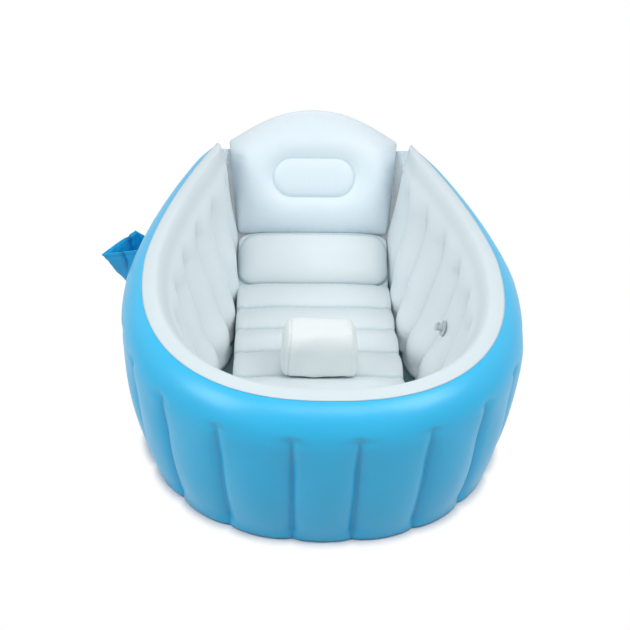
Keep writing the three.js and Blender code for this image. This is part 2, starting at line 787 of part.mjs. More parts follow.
// A closed form from rings of points, with a pole before the first and after the last.
function ringed(rings, first, last) {
  const count = rings[0].length;
  const points = [...rings.flat(), first, last];
  const [before, after] = [points.length - 2, points.length - 1];
  const triangles = [];
  for (let j = 0; j < count; j++) {
    const k = (j + 1) % count;
    triangles.push(before, j, k);
    for (let i = 0; i + 1 < rings.length; i++) {
      const [a, b, c, d] = [i * count + j, i * count + k, (i + 1) * count + k, (i + 1) * count + j];
      triangles.push(a, d, c, a, c, b);
    }
    const end = (rings.length - 1) * count;
    triangles.push(after, end + k, end + j);
  }
  return closed(points, triangles);
}

function saddle() {
  const round = (share, z) => {
    const ring = [];
    for (let j = 0; j < saddleRays; j++) {
      const angle = (2 * Math.PI * j) / saddleRays;
      const power = 2 / saddlePower;
      const x = Math.sign(Math.cos(angle)) * Math.abs(Math.cos(angle)) ** power;
      const y = Math.sign(Math.sin(angle)) * Math.abs(Math.sin(angle)) ** power;
      ring.push(new THREE.Vector3((x * share * saddleWidth) / 2, (y * share * saddleDepth) / 2, z));
    }
    return ring;
  };
  const rings = saddleProfileShares.map(([share, rise]) => round(share, saddleHeight * rise));
  const bottom = new THREE.Vector3(0, 0, 0);
  return ringed(rings, bottom, new THREE.Vector3(0, 0, saddleHeight + saddleDome));
}

// Pouch

const pouchRun = weldRuns.left[pouchBay];

// How far the outer wall's sheet stands out from the rim. What is bridged doesn't follow the groove.
function wallReachAt(run, z, bridged) {
  const next = wallStations.findIndex((station) => station.run >= run);
  const [a, b] = [wallStations[next - 1], wallStations[next]];
  const pinch = THREE.MathUtils.mapLinear(run, a.run, b.run, a.pinch, b.pinch);
  const place = rimAt(run);
  const middle = place.height - rollRise * Math.cos(seamAngle);
  const down = THREE.MathUtils.clamp((middle - z) / (middle - outerFootLift), 0, 1);
  return outerAt(place, pinch * (1 - bridged), degrees(90), down).n;
}

// A corner of the pouch as lengths: along the wall from its weld, out from the wall, and up.
function pouchCorner({ along, out, drop }) {
  return {
    along: pouchWidth * along - pouchFrontReach,
    out: pouchDepth * out,
    height: THREE.MathUtils.lerp(pouchMouthHeight, pouchFootHeight, drop),
  };
}

// The pouch's columns: for each, where it starts at the mouth and where it ends at the foot.
function pouchColumns() {
  const [mouth, foot] = [pouchMouthShares.map(pouchCorner), pouchFootShares.map(pouchCorner)];
  const mix = (a, b, t) => ({
    along: THREE.MathUtils.lerp(a.along, b.along, t),
    out: THREE.MathUtils.lerp(a.out, b.out, t),
    height: THREE.MathUtils.lerp(a.height, b.height, t),
  });
  const welded = (corner, shift) => ({ ...corner, along: corner.along + shift, out: 0 });
  const columns = [[welded(mouth[0], -pouchFlangeWidth), welded(foot[0], -pouchFlangeWidth)]];
  for (const [i, count] of pouchPanelColumns.entries()) {
    for (let k = 0; k < count; k++) {
      columns.push([mix(mouth[i], mouth[i + 1], k / count), mix(foot[i], foot[i + 1], k / count)]);
    }
  }
  columns.push([mouth.at(-1), foot.at(-1)]);
  columns.push([welded(mouth.at(-1), pouchFlangeWidth), welded(foot.at(-1), pouchFlangeWidth)]);
  return columns;
}

function sidePouch() {
  const rows = [];
  for (let i = 0; i <= pouchRows; i++) {
    const drop = i / pouchRows;
    rows.push(
      pouchColumns().map(([top, foot]) => {
        const z = THREE.MathUtils.lerp(top.height, foot.height, drop);
        const run = -(pouchRun + THREE.MathUtils.lerp(top.along, foot.along, drop));
        const out = THREE.MathUtils.lerp(top.out, foot.out, drop);
        const reach = wallReachAt(run, z, Math.min(1, out / outerGrooveDepth));
        return onWall(rimAt(run), { n: reach - sheet + gap + pouchSheet + out, z });
      }),
    );
  }
  return sheetOn(rows, 0, pouchSheet, 1);
}

// Valves

function valveBody() {
  const tail = -stemTailLength - sheet;
  const outline = [
    [stemBoreRadius, tail],
    [stemRadius, tail],
    [stemRadius, 0],
    [valveFlangeRadius, 0],
    [valveFlangeRadius, valveFlangeThickness],
    [stemRadius + valveFlangeThickness, valveFlangeThickness],
    [stemRadius, valveFlangeThickness + valveFlangeThickness],
    [stemRadius, stemHeight],
    [stemBoreRadius, stemHeight],
    [stemBoreRadius, tail],
  ];
  const shelfEnd = capHingeReach - gap;
  const inner = (stemRadius + stemBoreRadius) / 2;
  const shelf = block(
    shelfEnd - inner,
    strapWidth,
    lugHeight,
    (shelfEnd + inner) / 2,
    0,
    stemHeight - gap - lugHeight / 2,
  );
  return join(turned(outline), shelf);
}

function valveCap() {
  const seat = stemHeight + gap;
  const cap = turned([
    [0, seat - plugLength],
    [plugTipRadius, seat - plugLength],
    [plugSeatRadius, seat],
    [capRadius, seat],
    [capRadius, seat + capThickness],
    [0, seat + capThickness],
  ]);
  const inner = capRadius - overrun / 2;
  const [length, middle] = [capHingeReach - inner, (capHingeReach + inner) / 2];
  const strap = block(length, strapWidth, strapThickness, middle, 0, seat + strapThickness / 2);
  return join(cap, strap);
}

function valveFlap() {
  const top = -stemTailLength - sheet - gap;
  return cylinder(flapRadius, top - flapThickness, top);
}

// A chamber's flat seat for the flange, with the room below it for the tail and the swinging flap.
function valvePocket() {
  const seat = cylinder(valveFlangeRadius + gap, -gap, overrun);
  return join(cylinder(pocketRadius, -pocketDepth, overrun), seat);
}

function valveHole() {
  return cylinder(stemRadius + gap, -stemTailLength, stemTailLength);
}

function standing(at, axis, hint) {
  const x = hint.clone().addScaledVector(axis, -hint.dot(axis)).normalize();
  return new THREE.Matrix4().makeBasis(x, axis.clone().cross(x), axis).setPosition(at);
}

function addValve(name, seat) {
  const group = new THREE.Group();
  group.applyMatrix4(seat);
  tub.add(group);
  add(group, `${name}_body`, valveBody(), valveClear);
  add(group, `${name}_cap`, valveCap(), valveClear);
  add(group, `${name}_flap`, valveFlap(), clear);
}

// Drain

function drainBody() {
  const arm = drainHingeReach - gap;
  const inner = (drainCollarRadius + drainBoreRadius) / 2;
  const ring = turned([
    [drainBoreRadius, 0],
    [drainFlangeRadius, 0],
    [drainFlangeRadius, drainFlangeThickness],
    [drainCollarRadius, drainFlangeThickness + drainFlangeThickness],
    [drainCollarRadius, drainHeight],
    [drainBoreRadius, drainHeight],
    [drainBoreRadius, 0],
  ], drainSides);
  const z = drainHeight - gap - lugHeight / 2;
  const shelf = block(arm - inner, drainStrapWidth, lugHeight, (arm + inner) / 2, 0, z);
  return join(ring, shelf);
}

function drainPlug() {
  const seat = drainHeight + gap;
  const plug = turned([
    [0, seat - drainPlugLength],
    [drainPlugTipRadius, seat - drainPlugLength],
    [drainBoreRadius - gap, seat],
    [drainCapRadius, seat],
    [drainCapRadius, seat + drainCapThickness],
    [0, seat + drainCapThickness],
  ], drainSides);
  const inner = drainCapRadius - overrun;
  const [length, middle] = [drainHingeReach - inner, (drainHingeReach + inner) / 2];
  const strap = block(length, drainStrapWidth, strapThickness, middle, 0, seat + strapThickness / 2);
  const ring = new THREE.TorusGeometry(drainRingRadius, drainWireRadius, wireSides, valveSides);
  ring.rotateX(Math.PI / 2).translate(0, 0, seat + drainCapThickness + drainRingRadius - drainWireRadius);
  return join(plug, strap, ring);
}

// Where each valve stands

const wallValve = (() => {
  const place = rimAt((weldRuns.right[wallValveBay] + weldRuns.right[wallValveBay + 1]) / 2);
  const [low, high] = [0, 1].map((k) => onWall(place, innerAt(place, 0, degrees(-90), innerShares[k])));
  const slope = low.clone().sub(high).normalize();
  const axis = new THREE.Vector3().crossVectors(slope, place.onward).normalize();
  return standing(low.clone().lerp(high, 1 / 2).addScaledVector(axis, gap), axis, new THREE.Vector3(0, 0, 1));
})();

const seatValve = (() => {
  const y = seatFootY + tubePitch / 2;
  const at = new THREE.Vector3(0, y, floorHeight + seatCrown + gap - valveSink);
  return standing(at, new THREE.Vector3(0, 0, 1), new THREE.Vector3(0, -1, 0));
})();

const saddleBase = floorHeight + seatCrown + gap;

const saddleValve = (() => {
  const y = saddleY + saddleDepth / 2 + gap - valveSink;
  const at = new THREE.Vector3(0, y, saddleBase + saddleHeight * saddleValveShare);
  return standing(at, new THREE.Vector3(0, 1, 0), new THREE.Vector3(0, 0, 1));
})();

const backValve = (() => {
  const reach = backHeight - padMiddleHeight;
  const share = (backValveHeight - padMiddleHeight) / reach;
  const rearAt = (part) => {
    const bulge = backRearBulge * (1 - part ** backPower) ** (1 / 2);
    return backPoint(0, padMiddleHeight + reach * part, -bulge);
  };
  const at = rearAt(share);
  const onward = rearAt(share + tangentShare).sub(at).normalize();
  const axis = new THREE.Vector3(1, 0, 0).cross(onward).normalize();
  if (axis.y < 0) axis.negate();
  return standing(at.addScaledVector(axis, gap - valveSink), axis, onward);
})();

function placed(geometry, matrix) {
  return geometry.clone().applyMatrix4(matrix);
}

add(tub, "base_sheet", baseSheet(), clear);
add(tub, "outer_wall_sheet", outerWallSheet(), blue);
add(tub, "inner_wall_sheet", cut(innerWallSheet(), placed(valveHole(), wallValve)), white);
for (const [side, sign] of [["right", 1], ["left", -1]]) {
  for (const [i, run] of weldRuns[side].entries()) {
    add(tub, `wall_web_${side}_${i + 1}`, webAt(sign * run, 1, webInset), clear);
  }
  add(tub, `wall_end_${side}`, wallEnd(sign), clear);
}
add(tub, "rear_panel", cut(rearPanel(), backrest(gap)), clear);

const seatSolid = cut(seatChamber(), backrest(gap), placed(valvePocket(), seatValve));
add(tub, "seat_chamber", seatSolid, white);
add(tub, "backrest_chamber", cut(backrest(0), placed(valvePocket(), backValve)), white);
const saddleAt = new THREE.Matrix4().makeTranslation(0, saddleY, saddleBase);
add(tub, "saddle_chamber", cut(placed(saddle(), saddleAt), placed(valvePocket(), saddleValve)), cream);
add(tub, "side_pouch", sidePouch(), blue);

addValve("wall_valve", wallValve);
addValve("seat_valve", seatValve);
addValve("saddle_valve", saddleValve);
addValve("back_valve", backValve);

const drain = new THREE.Group();
drain.position.set(0, drainY, sheet + gap);
tub.add(drain);
add(drain, "drain_body", drainBody(), valveClear);
add(drain, "drain_plug", drainPlug(), valveClear);

export default tub;
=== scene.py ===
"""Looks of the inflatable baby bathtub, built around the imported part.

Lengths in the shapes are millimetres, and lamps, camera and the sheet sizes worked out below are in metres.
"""

import math

import bpy
import numpy as np
from mathutils import Matrix, Vector


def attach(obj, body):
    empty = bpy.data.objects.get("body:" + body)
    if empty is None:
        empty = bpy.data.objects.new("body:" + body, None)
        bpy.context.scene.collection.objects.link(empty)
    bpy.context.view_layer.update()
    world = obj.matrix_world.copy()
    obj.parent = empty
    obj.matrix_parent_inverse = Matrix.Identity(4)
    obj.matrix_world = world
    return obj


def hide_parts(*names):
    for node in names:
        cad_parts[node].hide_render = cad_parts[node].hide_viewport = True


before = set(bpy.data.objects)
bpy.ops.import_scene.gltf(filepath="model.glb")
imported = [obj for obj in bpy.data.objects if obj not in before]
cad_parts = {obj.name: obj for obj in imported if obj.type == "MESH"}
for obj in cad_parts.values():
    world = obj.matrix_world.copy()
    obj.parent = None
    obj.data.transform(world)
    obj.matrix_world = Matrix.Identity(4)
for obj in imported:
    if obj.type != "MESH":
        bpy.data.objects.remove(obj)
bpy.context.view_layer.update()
MM = 0.001

# Camera and light


def make_camera():
    """The camera of the photo, fitted to the rim, the base line, the backrest and the floor tubes."""
    yaw, rise, roll = math.radians(-2.64), math.radians(29.77), math.radians(1.66)
    back = Vector((math.sin(yaw) * math.cos(rise), -math.cos(yaw) * math.cos(rise), math.sin(rise)))
    target = Vector((-5.48, 15, 113.67)) * MM
    forward = -back
    right = forward.cross(Vector((0, 0, 1))).normalized()
    up = right.cross(forward)
    turned_right = right * math.cos(roll) + up * math.sin(roll)
    turned_up = up * math.cos(roll) - right * math.sin(roll)
    data = bpy.data.cameras.new("camera")
    data.sensor_width = 36
    data.lens = 36 * 1130.67 / 630
    data.clip_start, data.clip_end = 0.05, 50
    camera = bpy.data.objects.new("camera", data)
    bpy.context.scene.collection.objects.link(camera)
    turn = Matrix((turned_right, turned_up, back)).transposed().to_4x4()
    camera.matrix_world = Matrix.Translation(target + back * 2.0) @ turn
    bpy.context.scene.camera = camera


def area_light(name, place, aim, size, power):
    data = bpy.data.lights.new(name, "AREA")
    data.shape = "RECTANGLE"
    data.size, data.size_y = size
    data.energy = power
    light = bpy.data.objects.new(name, data)
    bpy.context.scene.collection.objects.link(light)
    light.location = place
    light.rotation_mode = "QUATERNION"
    light.rotation_quaternion = (Vector(aim) - Vector(place)).to_track_quat("-Z", "Y")


def seen_rays(nodes, links):
    """1 for camera, glossy and transmission rays, and 0 for the light that falls on things."""
    path = nodes.new("ShaderNodeLightPath")
    one, two = nodes.new("ShaderNodeMath"), nodes.new("ShaderNodeMath")
    for maximum in (one, two):
        maximum.operation = "MAXIMUM"
    links.new(path.outputs["Is Camera Ray"], one.inputs[0])
    links.new(path.outputs["Is Glossy Ray"], one.inputs[1])
    links.new(one.outputs[0], two.inputs[0])
    links.new(path.outputs["Is Transmission Ray"], two.inputs[1])
    return two.outputs[0]


def make_world():
    scene = bpy.context.scene
    scene.view_settings.view_transform = "Standard"
    world = bpy.data.worlds.new("studio")
    scene.world = world
    world.use_nodes = True
    nodes, links = world.node_tree.nodes, world.node_tree.links
    nodes.clear()
    out = nodes.new("ShaderNodeOutputWorld")
    seen, lit = nodes.new("ShaderNodeBackground"), nodes.new("ShaderNodeBackground")
    mix = nodes.new("ShaderNodeMixShader")
    seen.inputs["Color"].default_value = (1, 1, 1, 1)
    seen.inputs["Strength"].default_value = 1.0
    lit.inputs["Color"].default_value = (0.95, 0.98, 1, 1)
    lit.inputs["Strength"].default_value = 0.38
    links.new(seen_rays(nodes, links), mix.inputs["Fac"])
    links.new(lit.outputs[0], mix.inputs[1])
    links.new(seen.outputs[0], mix.inputs[2])
    links.new(mix.outputs[0], out.inputs["Surface"])


make_camera()
make_world()
area_light("left_box", (-1.62, -0.85, 1.62), (0, 0, 0.2), (1.1, 1.1), 18.5)
area_light("right_box", (1.32, -0.8, 1.95), (0, 0, 0.2), (1.1, 1.1), 20)
area_light("front_box", (0, -1.3, 2.3), (0, 0.1, 0.2), (1.4, 0.8), 12)
area_light("top", (0, 0.3, 2.7), (0, 0, 0.1), (2.0, 2.0), 3)
area_light("back_box", (0, 2.3, 1.5), (0, 0.3, 0.15), (1.6, 0.9), 6)


# Materials


def socket_mix(nodes, links, a, b, factor):
    mix = nodes.new("ShaderNodeMix")
    mix.data_type = "RGBA"
    mix.inputs[6].default_value = (*a, 1)
    mix.inputs[7].default_value = (*b, 1)
    links.new(factor, mix.inputs["Factor"])
    return mix.outputs[2]


def vinyl(name, base, deep, roughness, grain=0.12, wrinkle=0.25, crease=None, alpha=1.0, specular=0.5):
    """Vinyl sheet: a cloudy tint, a fine leather-like grain and soft wrinkles, and painted shade along its welds and
    folds.
    """
    material = bpy.data.materials.new(name)
    material.use_nodes = True
    nodes, links = material.node_tree.nodes, material.node_tree.links
    shader = nodes["Principled BSDF"]
    where = nodes.new("ShaderNodeTexCoord")
    cloud = nodes.new("ShaderNodeTexNoise")
    cloud.inputs["Scale"].default_value = 9
    cloud.inputs["Detail"].default_value = 3
    links.new(where.outputs["Object"], cloud.inputs["Vector"])
    ramp = nodes.new("ShaderNodeMapRange")
    ramp.inputs["From Min"].default_value, ramp.inputs["From Max"].default_value = 0.3, 0.7
    ramp.inputs["To Min"].default_value, ramp.inputs["To Max"].default_value = 0.0, 0.22
    links.new(cloud.outputs["Fac"], ramp.inputs["Value"])
    colour = socket_mix(nodes, links, base, deep, ramp.outputs["Result"])
    # The crease attribute mixes in the crease colour: painted shade in welds, folds and valleys.
    if crease is not None:
        crease_shade = nodes.new("ShaderNodeAttribute")
        crease_shade.attribute_name = "crease"
        mix = nodes.new("ShaderNodeMix")
        mix.data_type = "RGBA"
        links.new(crease_shade.outputs["Fac"], mix.inputs["Factor"])
        links.new(colour, mix.inputs[6])
        mix.inputs[7].default_value = (*crease, 1)
        colour = mix.outputs[2]
    links.new(colour, shader.inputs["Base Color"])
    rough = nodes.new("ShaderNodeMapRange")
    rough.inputs["To Min"].default_value, rough.inputs["To Max"].default_value = roughness - 0.05, roughness + 0.07
    links.new(cloud.outputs["Fac"], rough.inputs["Value"])
    links.new(rough.outputs["Result"], shader.inputs["Roughness"])
    fine = nodes.new("ShaderNodeTexNoise")
    fine.inputs["Scale"].default_value = 620
    fine.inputs["Detail"].default_value = 2
    soft = nodes.new("ShaderNodeTexNoise")
    soft.inputs["Scale"].default_value = 34
    soft.inputs["Detail"].default_value = 4
    soft.inputs["Distortion"].default_value = 0.6
    links.new(where.outputs["Object"], fine.inputs["Vector"])
    links.new(where.outputs["Object"], soft.inputs["Vector"])
    grain_bump, soft_bump = nodes.new("ShaderNodeBump"), nodes.new("ShaderNodeBump")
    grain_bump.inputs["Strength"].default_value = grain
    grain_bump.inputs["Distance"].default_value = 0.0002
    soft_bump.inputs["Strength"].default_value = wrinkle
    soft_bump.inputs["Distance"].default_value = 0.0016
    links.new(fine.outputs["Fac"], grain_bump.inputs["Height"])
    links.new(soft.outputs["Fac"], soft_bump.inputs["Height"])
    links.new(soft_bump.outputs["Normal"], grain_bump.inputs["Normal"])
    links.new(grain_bump.outputs["Normal"], shader.inputs["Normal"])
    shader.inputs["Alpha"].default_value = alpha
    shader.inputs["Specular IOR Level"].default_value = specular
    shader.inputs["IOR"].default_value = 1.5
    return material


def linear(r, g, b):
    return tuple((c / 255 / 12.92) if c <= 10 else ((c / 255 + 0.055) / 1.055) ** 2.4 for c in (r, g, b))


# Each crease colour below is the painted shade that the crease attribute draws into its sheet.
BLUE = vinyl(
    "blue_vinyl_look", linear(38, 186, 236), linear(24, 175, 229), 0.34,
    crease=linear(8, 140, 192), specular=0.6,
)
POUCH = vinyl(
    "pouch_vinyl_look", linear(34, 180, 232), linear(22, 164, 218), 0.4,
    wrinkle=0.5, crease=linear(6, 112, 176),
)
WHITE = vinyl(
    "white_vinyl_look", linear(230, 238, 241), linear(222, 232, 236), 0.46,
    crease=linear(160, 186, 194), specular=0.4,
)
SEAT = vinyl(
    "seat_vinyl_look", linear(219, 228, 231), linear(211, 221, 225), 0.42,
    crease=linear(150, 180, 190), specular=0.4,
)
BACK = vinyl(
    "back_vinyl_look", linear(223, 235, 242), linear(215, 230, 238), 0.42,
    crease=linear(176, 206, 218), specular=0.4,
)
CREAM = vinyl(
    "cream_vinyl_look", linear(227, 232, 232), linear(221, 228, 227), 0.42,
    crease=linear(208, 217, 214), specular=0.4,
)
CLEAR = vinyl("clear_vinyl_look", linear(232, 247, 254), linear(200, 230, 244), 0.22, wrinkle=1.0, alpha=0.56)
ENDS = vinyl("end_vinyl_look", linear(228, 238, 242), linear(214, 228, 234), 0.3, wrinkle=0.5, alpha=0.92)
# The base sheet's dark teal is painted shade for the gaps beside the seat, where only the base shows.
PAINTED_SHADE_BASE = vinyl(
    "base_painted_shade_look", linear(66, 98, 104), linear(32, 62, 68), 0.3,
    wrinkle=0.8, crease=linear(36, 64, 68),
)
MOULDED = vinyl(
    "moulded_look", linear(206, 214, 218), linear(188, 200, 206), 0.24,
    grain=0.04, wrinkle=0.05, alpha=0.85,
)


# Meshes


def smooth(value, low, high):
    t = np.clip((value - low) / (high - low), 0, 1)
    return t * t * (3 - 2 * t)


def ripple(value, seed, lengths):
    """A sum of waves of these lengths, from -1 to 1, the same at every run."""
    rng = np.random.RandomState(seed)
    total, weight = 0, 0
    for length in lengths:
        phase, share = rng.uniform(0, 6.28), rng.uniform(0.6, 1)
        total = total + share * np.sin(2 * np.pi * value / length + phase)
        weight += share
    return total / weight


def field(x, y, seed, length, waves=5):
    """A smooth uneven surface over x and y, from about -1 to 1."""
    rng = np.random.RandomState(seed)
    total = 0
    for _ in range(waves):
        turn, phase = rng.uniform(0, 6.28), rng.uniform(0, 6.28)
        size = length * rng.uniform(0.6, 1.5)
        total = total + np.sin(2 * np.pi * (x * math.cos(turn) + y * math.sin(turn)) / size + phase)
    return total / waves**0.5 / 1.4


def normals_of(points, wrap=False):
    """Unit normals of a grid of points, rows by columns."""
    along = np.gradient(points, axis=0)
    if wrap:
        across = (np.roll(points, -1, axis=1) - np.roll(points, 1, axis=1)) / 2
    else:
        across = np.gradient(points, axis=1)
    n = np.cross(across, along)
    return n / np.maximum(np.linalg.norm(n, axis=2, keepdims=True), 1e-9)


def grid_faces(rows, columns, wrap=False, start=0, flip=False):
    i = np.arange(rows - 1)[:, None]
    j = np.arange(columns if wrap else columns - 1)[None, :]
    k = (j + 1) % columns
    here, below = i * columns, (i + 1) * columns
    quads = np.stack([here + j, here + k, below + k, below + j], -1).reshape(-1, 4)
    return (quads[:, ::-1] if flip else quads) + start


def edge_loop(rows, columns):
    """Indices round the edge of a grid of points, and the index after each."""
    index = np.arange(rows * columns).reshape(rows, columns)
    loop = np.concatenate([index[0, :-1], index[:-1, -1], index[-1, :0:-1], index[:0:-1, 0]])
    return loop, np.roll(loop, -1)


def make_object(name, points, faces, material, crease=None):
    mesh = bpy.data.meshes.new(name)
    places = (np.asarray(points, float).reshape(-1, 3) * MM).tolist()
    mesh.from_pydata(places, [], [list(map(int, f)) for f in faces])
    if crease is not None:
        attribute = mesh.attributes.new("crease", "FLOAT", "POINT")
        attribute.data.foreach_set("value", np.asarray(crease, np.float32).ravel())
    mesh.polygons.foreach_set("use_smooth", [True] * len(mesh.polygons))
    mesh.materials.append(material)
    mesh.validate()
    mesh.update()
    made = bpy.data.objects.new(name, mesh)
    bpy.context.scene.collection.objects.link(made)
    return made


def sheet_object(name, points, near, far, material, crease=None, side=1):
    """A sheet between two depths below a grid of points, closed round its edge."""
    rows, columns = points.shape[:2]
    n = normals_of(points) * side
    over, under = points - n * near, points - n * far
    count = rows * columns
    faces = [grid_faces(rows, columns, flip=side > 0), grid_faces(rows, columns, start=count, flip=side < 0)]
    loop, after = edge_loop(rows, columns)
    edge = np.stack([loop, after, after + count, loop + count], -1)
    faces.append(edge if side > 0 else edge[:, ::-1])
    both = None if crease is None else np.concatenate([crease.ravel(), crease.ravel()])
    skins = np.concatenate([over.reshape(-1, 3), under.reshape(-1, 3)])
    return make_object(name, skins, np.concatenate(faces), material, both)


def wear(made, replaced, body="tub"):
    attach(made, body)
    if replaced:
        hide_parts(*replaced)
    return made


def declare_sheet(points):
    """Works out the width, length and area a sheet is cut to, from its shaped grid of points in millimetres, and does
    not use them.
    """
    across = np.linalg.norm(np.diff(points, axis=0), axis=2).sum(axis=0).max()
    along = np.linalg.norm(np.diff(points, axis=1), axis=2).sum(axis=1).max()
    one = np.cross(points[1:, 1:] - points[:-1, :-1], points[1:, :-1] - points[:-1, 1:])
    area = float(np.linalg.norm(one, axis=2).sum() / 2) * MM * MM
    width, length = float(across) * MM, float(along) * MM
    area = round(min(area, 0.999 * width * length), 4)


# The rim seam seen from above, with the part's values. The bays are fuller here, and the shoulder is straighter.

SHEET, GAP, LAP, FLANGE = 0.5, 0.3, 6, 8
HALF_WIDTH, FOOT_REACH, CORNER_REACH, CORNER_X, WIDEST_Y = 290, 382, 419, 193, -67
FOOT_POWER, HEAD_POWER = 2 / 2.33, 2 / 1.5
HEAD_REACH = CORNER_REACH / (1 - (CORNER_X / HALF_WIDTH) ** 1.5) ** (1 / 1.5)
FOOT_HEIGHT, CORNER_HEIGHT, RISE_POWER = 245, 300, 1.5
INSET, ROLL, BULGE, OUTER_FOOT = 20, 66, 36, 6
SHOULDER, INNER_FOOT, SHOULDER_SHARE = 57, 118, 0.76
OUTER_SEAT, OUTER_BOW, INNER_BOW = 0.65, 2.2, 1.1
OUTER_END, INNER_END = 0.3, 0.9
END_TOP, END_LOW = 0, 150
BELLY, BELLY_HEIGHT, BELLY_SPREAD, LOW_BELLY, WEDGE = 10, 106, 46, 8, 10
OUTER_GROOVE, INNER_GROOVE, INNER_LEAN = 14, 17, 1.28
OUTER_TIP, INNER_TIP = 50, 62
RIGHT_WELDS, LEFT_WELDS = np.linspace(36, 894, 10), np.linspace(51, 930, 10)
SEAT_HALF, SEAT_FOOT = 150, -237


def rim_table():
    angle = (np.pi / 2) * (1 - np.arange(601) / 600)
    foot = np.stack([HALF_WIDTH * np.cos(angle) ** FOOT_POWER, WIDEST_Y - FOOT_REACH * np.sin(angle) ** FOOT_POWER], 1)
    last = math.asin((CORNER_REACH / HEAD_REACH) ** (1 / HEAD_POWER))
    angle = last * np.arange(1, 601) / 600
    head = np.stack([HALF_WIDTH * np.cos(angle) ** HEAD_POWER, WIDEST_Y + HEAD_REACH * np.sin(angle) ** HEAD_POWER], 1)
    points = np.concatenate([foot, head])
    steps = np.linalg.norm(np.diff(points, axis=0), axis=1)
    return points, np.concatenate([[0], np.cumsum(steps)])


RIM, RIM_RUNS = rim_table()
RIM_END = RIM_RUNS[-1]


def rim_point(run):
    wanted = np.minimum(np.abs(run), RIM_END)
    x = np.interp(wanted, RIM_RUNS, RIM[:, 0]) * np.where(run < 0, -1, 1)
    return np.stack([x, np.interp(wanted, RIM_RUNS, RIM[:, 1])], -1)


def rim_at(run):
    """Points, outward directions and heights of the rim at these runs."""
    reach = RIM_END / 600
    p = rim_point(run)
    d = rim_point(np.minimum(run + reach, RIM_END)) - rim_point(np.maximum(run - reach, -RIM_END))
    d /= np.linalg.norm(d, axis=-1, keepdims=True)
    rise = np.clip((p[..., 1] - WIDEST_Y + FOOT_REACH) / (CORNER_REACH + FOOT_REACH), 0, None)
    height = FOOT_HEIGHT + (CORNER_HEIGHT - FOOT_HEIGHT) * rise**RISE_POWER
    return p, np.stack([d[..., 1], -d[..., 0]], -1), height


def bay_columns(per_bay):
    """Runs along the wall, with each one's share of its bay and its distance from the nearest weld."""
    u = np.arange(per_bay) / per_bay
    share = 0.35 * u + 0.65 * (1 - np.cos(np.pi * u)) / 2
    marks = np.concatenate([-LEFT_WELDS[::-1], RIGHT_WELDS])
    runs, shares, near = [], [], []
    ends = np.concatenate([[-RIM_END], marks, [RIM_END]])
    for i, (a, b) in enumerate(zip(ends[:-1], ends[1:])):
        first, last = i == 0, i == len(ends) - 2
        t = (1 - np.cos(np.pi / 2 * u)) if last else np.sin(np.pi / 2 * u) if first else share
        runs.append(a + (b - a) * t)
        shares.append(0.5 + t / 2 if first else t / 2 if last else t)
        near.append((b - a) * (1 - t) if first else (b - a) * t if last else (b - a) * np.minimum(t, 1 - t))
    runs.append([RIM_END])
    shares.append([0.5])
    near.append([RIM_END - RIGHT_WELDS[-1]])
    return np.concatenate(runs), np.concatenate(shares), np.concatenate(near)


def section_share(run, end):
    last = np.where(run < 0, LEFT_WELDS[-1], RIGHT_WELDS[-1])
    past = np.maximum(0, np.abs(run) - last) / (RIM_END - last)
    return end + (1 - end) * np.sqrt(np.maximum(0, 1 - past**2))


SEAM = math.asin(INSET / (INSET + BULGE))
LAP_ANGLE = SEAM - LAP / ROLL
RUN, SHARE, NEAR = bay_columns(22)
PLACE, OUT, HEIGHT = rim_at(RUN)
ARC, SOFT_ARC = 1 - np.sin(np.pi * SHARE) ** 0.9, 1 - np.sin(np.pi * SHARE) ** 1.15


def on_wall(n, z):
    xy = PLACE[None] + OUT[None] * n[..., None]
    return np.concatenate([xy, z[..., None]], -1)


def groove(depth, low, arc, near):
    """How deep the outer sheet is drawn in, from 0 to 1: a shallow arc across each bay and a sharp fold at its weld."""
    tip = np.exp(-(((depth - OUTER_TIP) / 6.5) ** 2))
    fold = np.exp(-((near / (7 + 4 * tip)) ** 1.25))
    return (0.56 * arc * smooth(depth, 44, 112) + 0.44 * fold * smooth(depth, 38, 50)) * (0.45 + 0.55 * low)


def outer_grid():
    middle = HEIGHT - ROLL * math.cos(SEAM)
    angles = np.concatenate([[LAP_ANGLE], np.linspace(SEAM, math.radians(88), 26)])
    downs = np.concatenate([np.linspace(0.02, 0.9, 34), np.linspace(0.92, 1, 6)])
    share = section_share(RUN, OUTER_END)
    n = [(INSET + BULGE) * math.sin(a) - INSET + 0 * RUN for a in angles]
    z = [middle + ROLL * math.cos(a) for a in angles]
    n += [OUTER_FOOT + (BULGE - OUTER_FOOT) * (1 - d**OUTER_BOW) + 0 * RUN for d in downs]
    z += [middle + (OUTER_SEAT - middle) * d for d in downs]
    n.append(n[-1] - FLANGE)
    z.append(z[-1])
    n, z = np.array(n), np.array(z)
    depth = HEIGHT - z
    low = smooth(z, 0, 26)
    n = n - OUTER_GROOVE * groove(depth, low, ARC[None], NEAR[None])
    n += 1.0 * field(RUN[None], z, 3, 150) * smooth(depth, 10, 60) * low
    n += 0.3 * ripple(z + 0 * RUN, 5, (9, 13, 21)) * np.exp(-NEAR / 7)[None] * smooth(depth, 56, 80) * low
    # Painted shade: a thin darker line down each weld's fold below the groove's top, and a darker band at the wall's
    # foot where it meets the floor.
    crease = np.clip(0.55 * np.exp(-((NEAR / 2.4) ** 2))[None] * smooth(depth, 46, 58), 0, 1)
    crease = np.maximum(crease, 0.5 * (1 - smooth(z, 1, 5)))
    return on_wall(n * share, z), crease


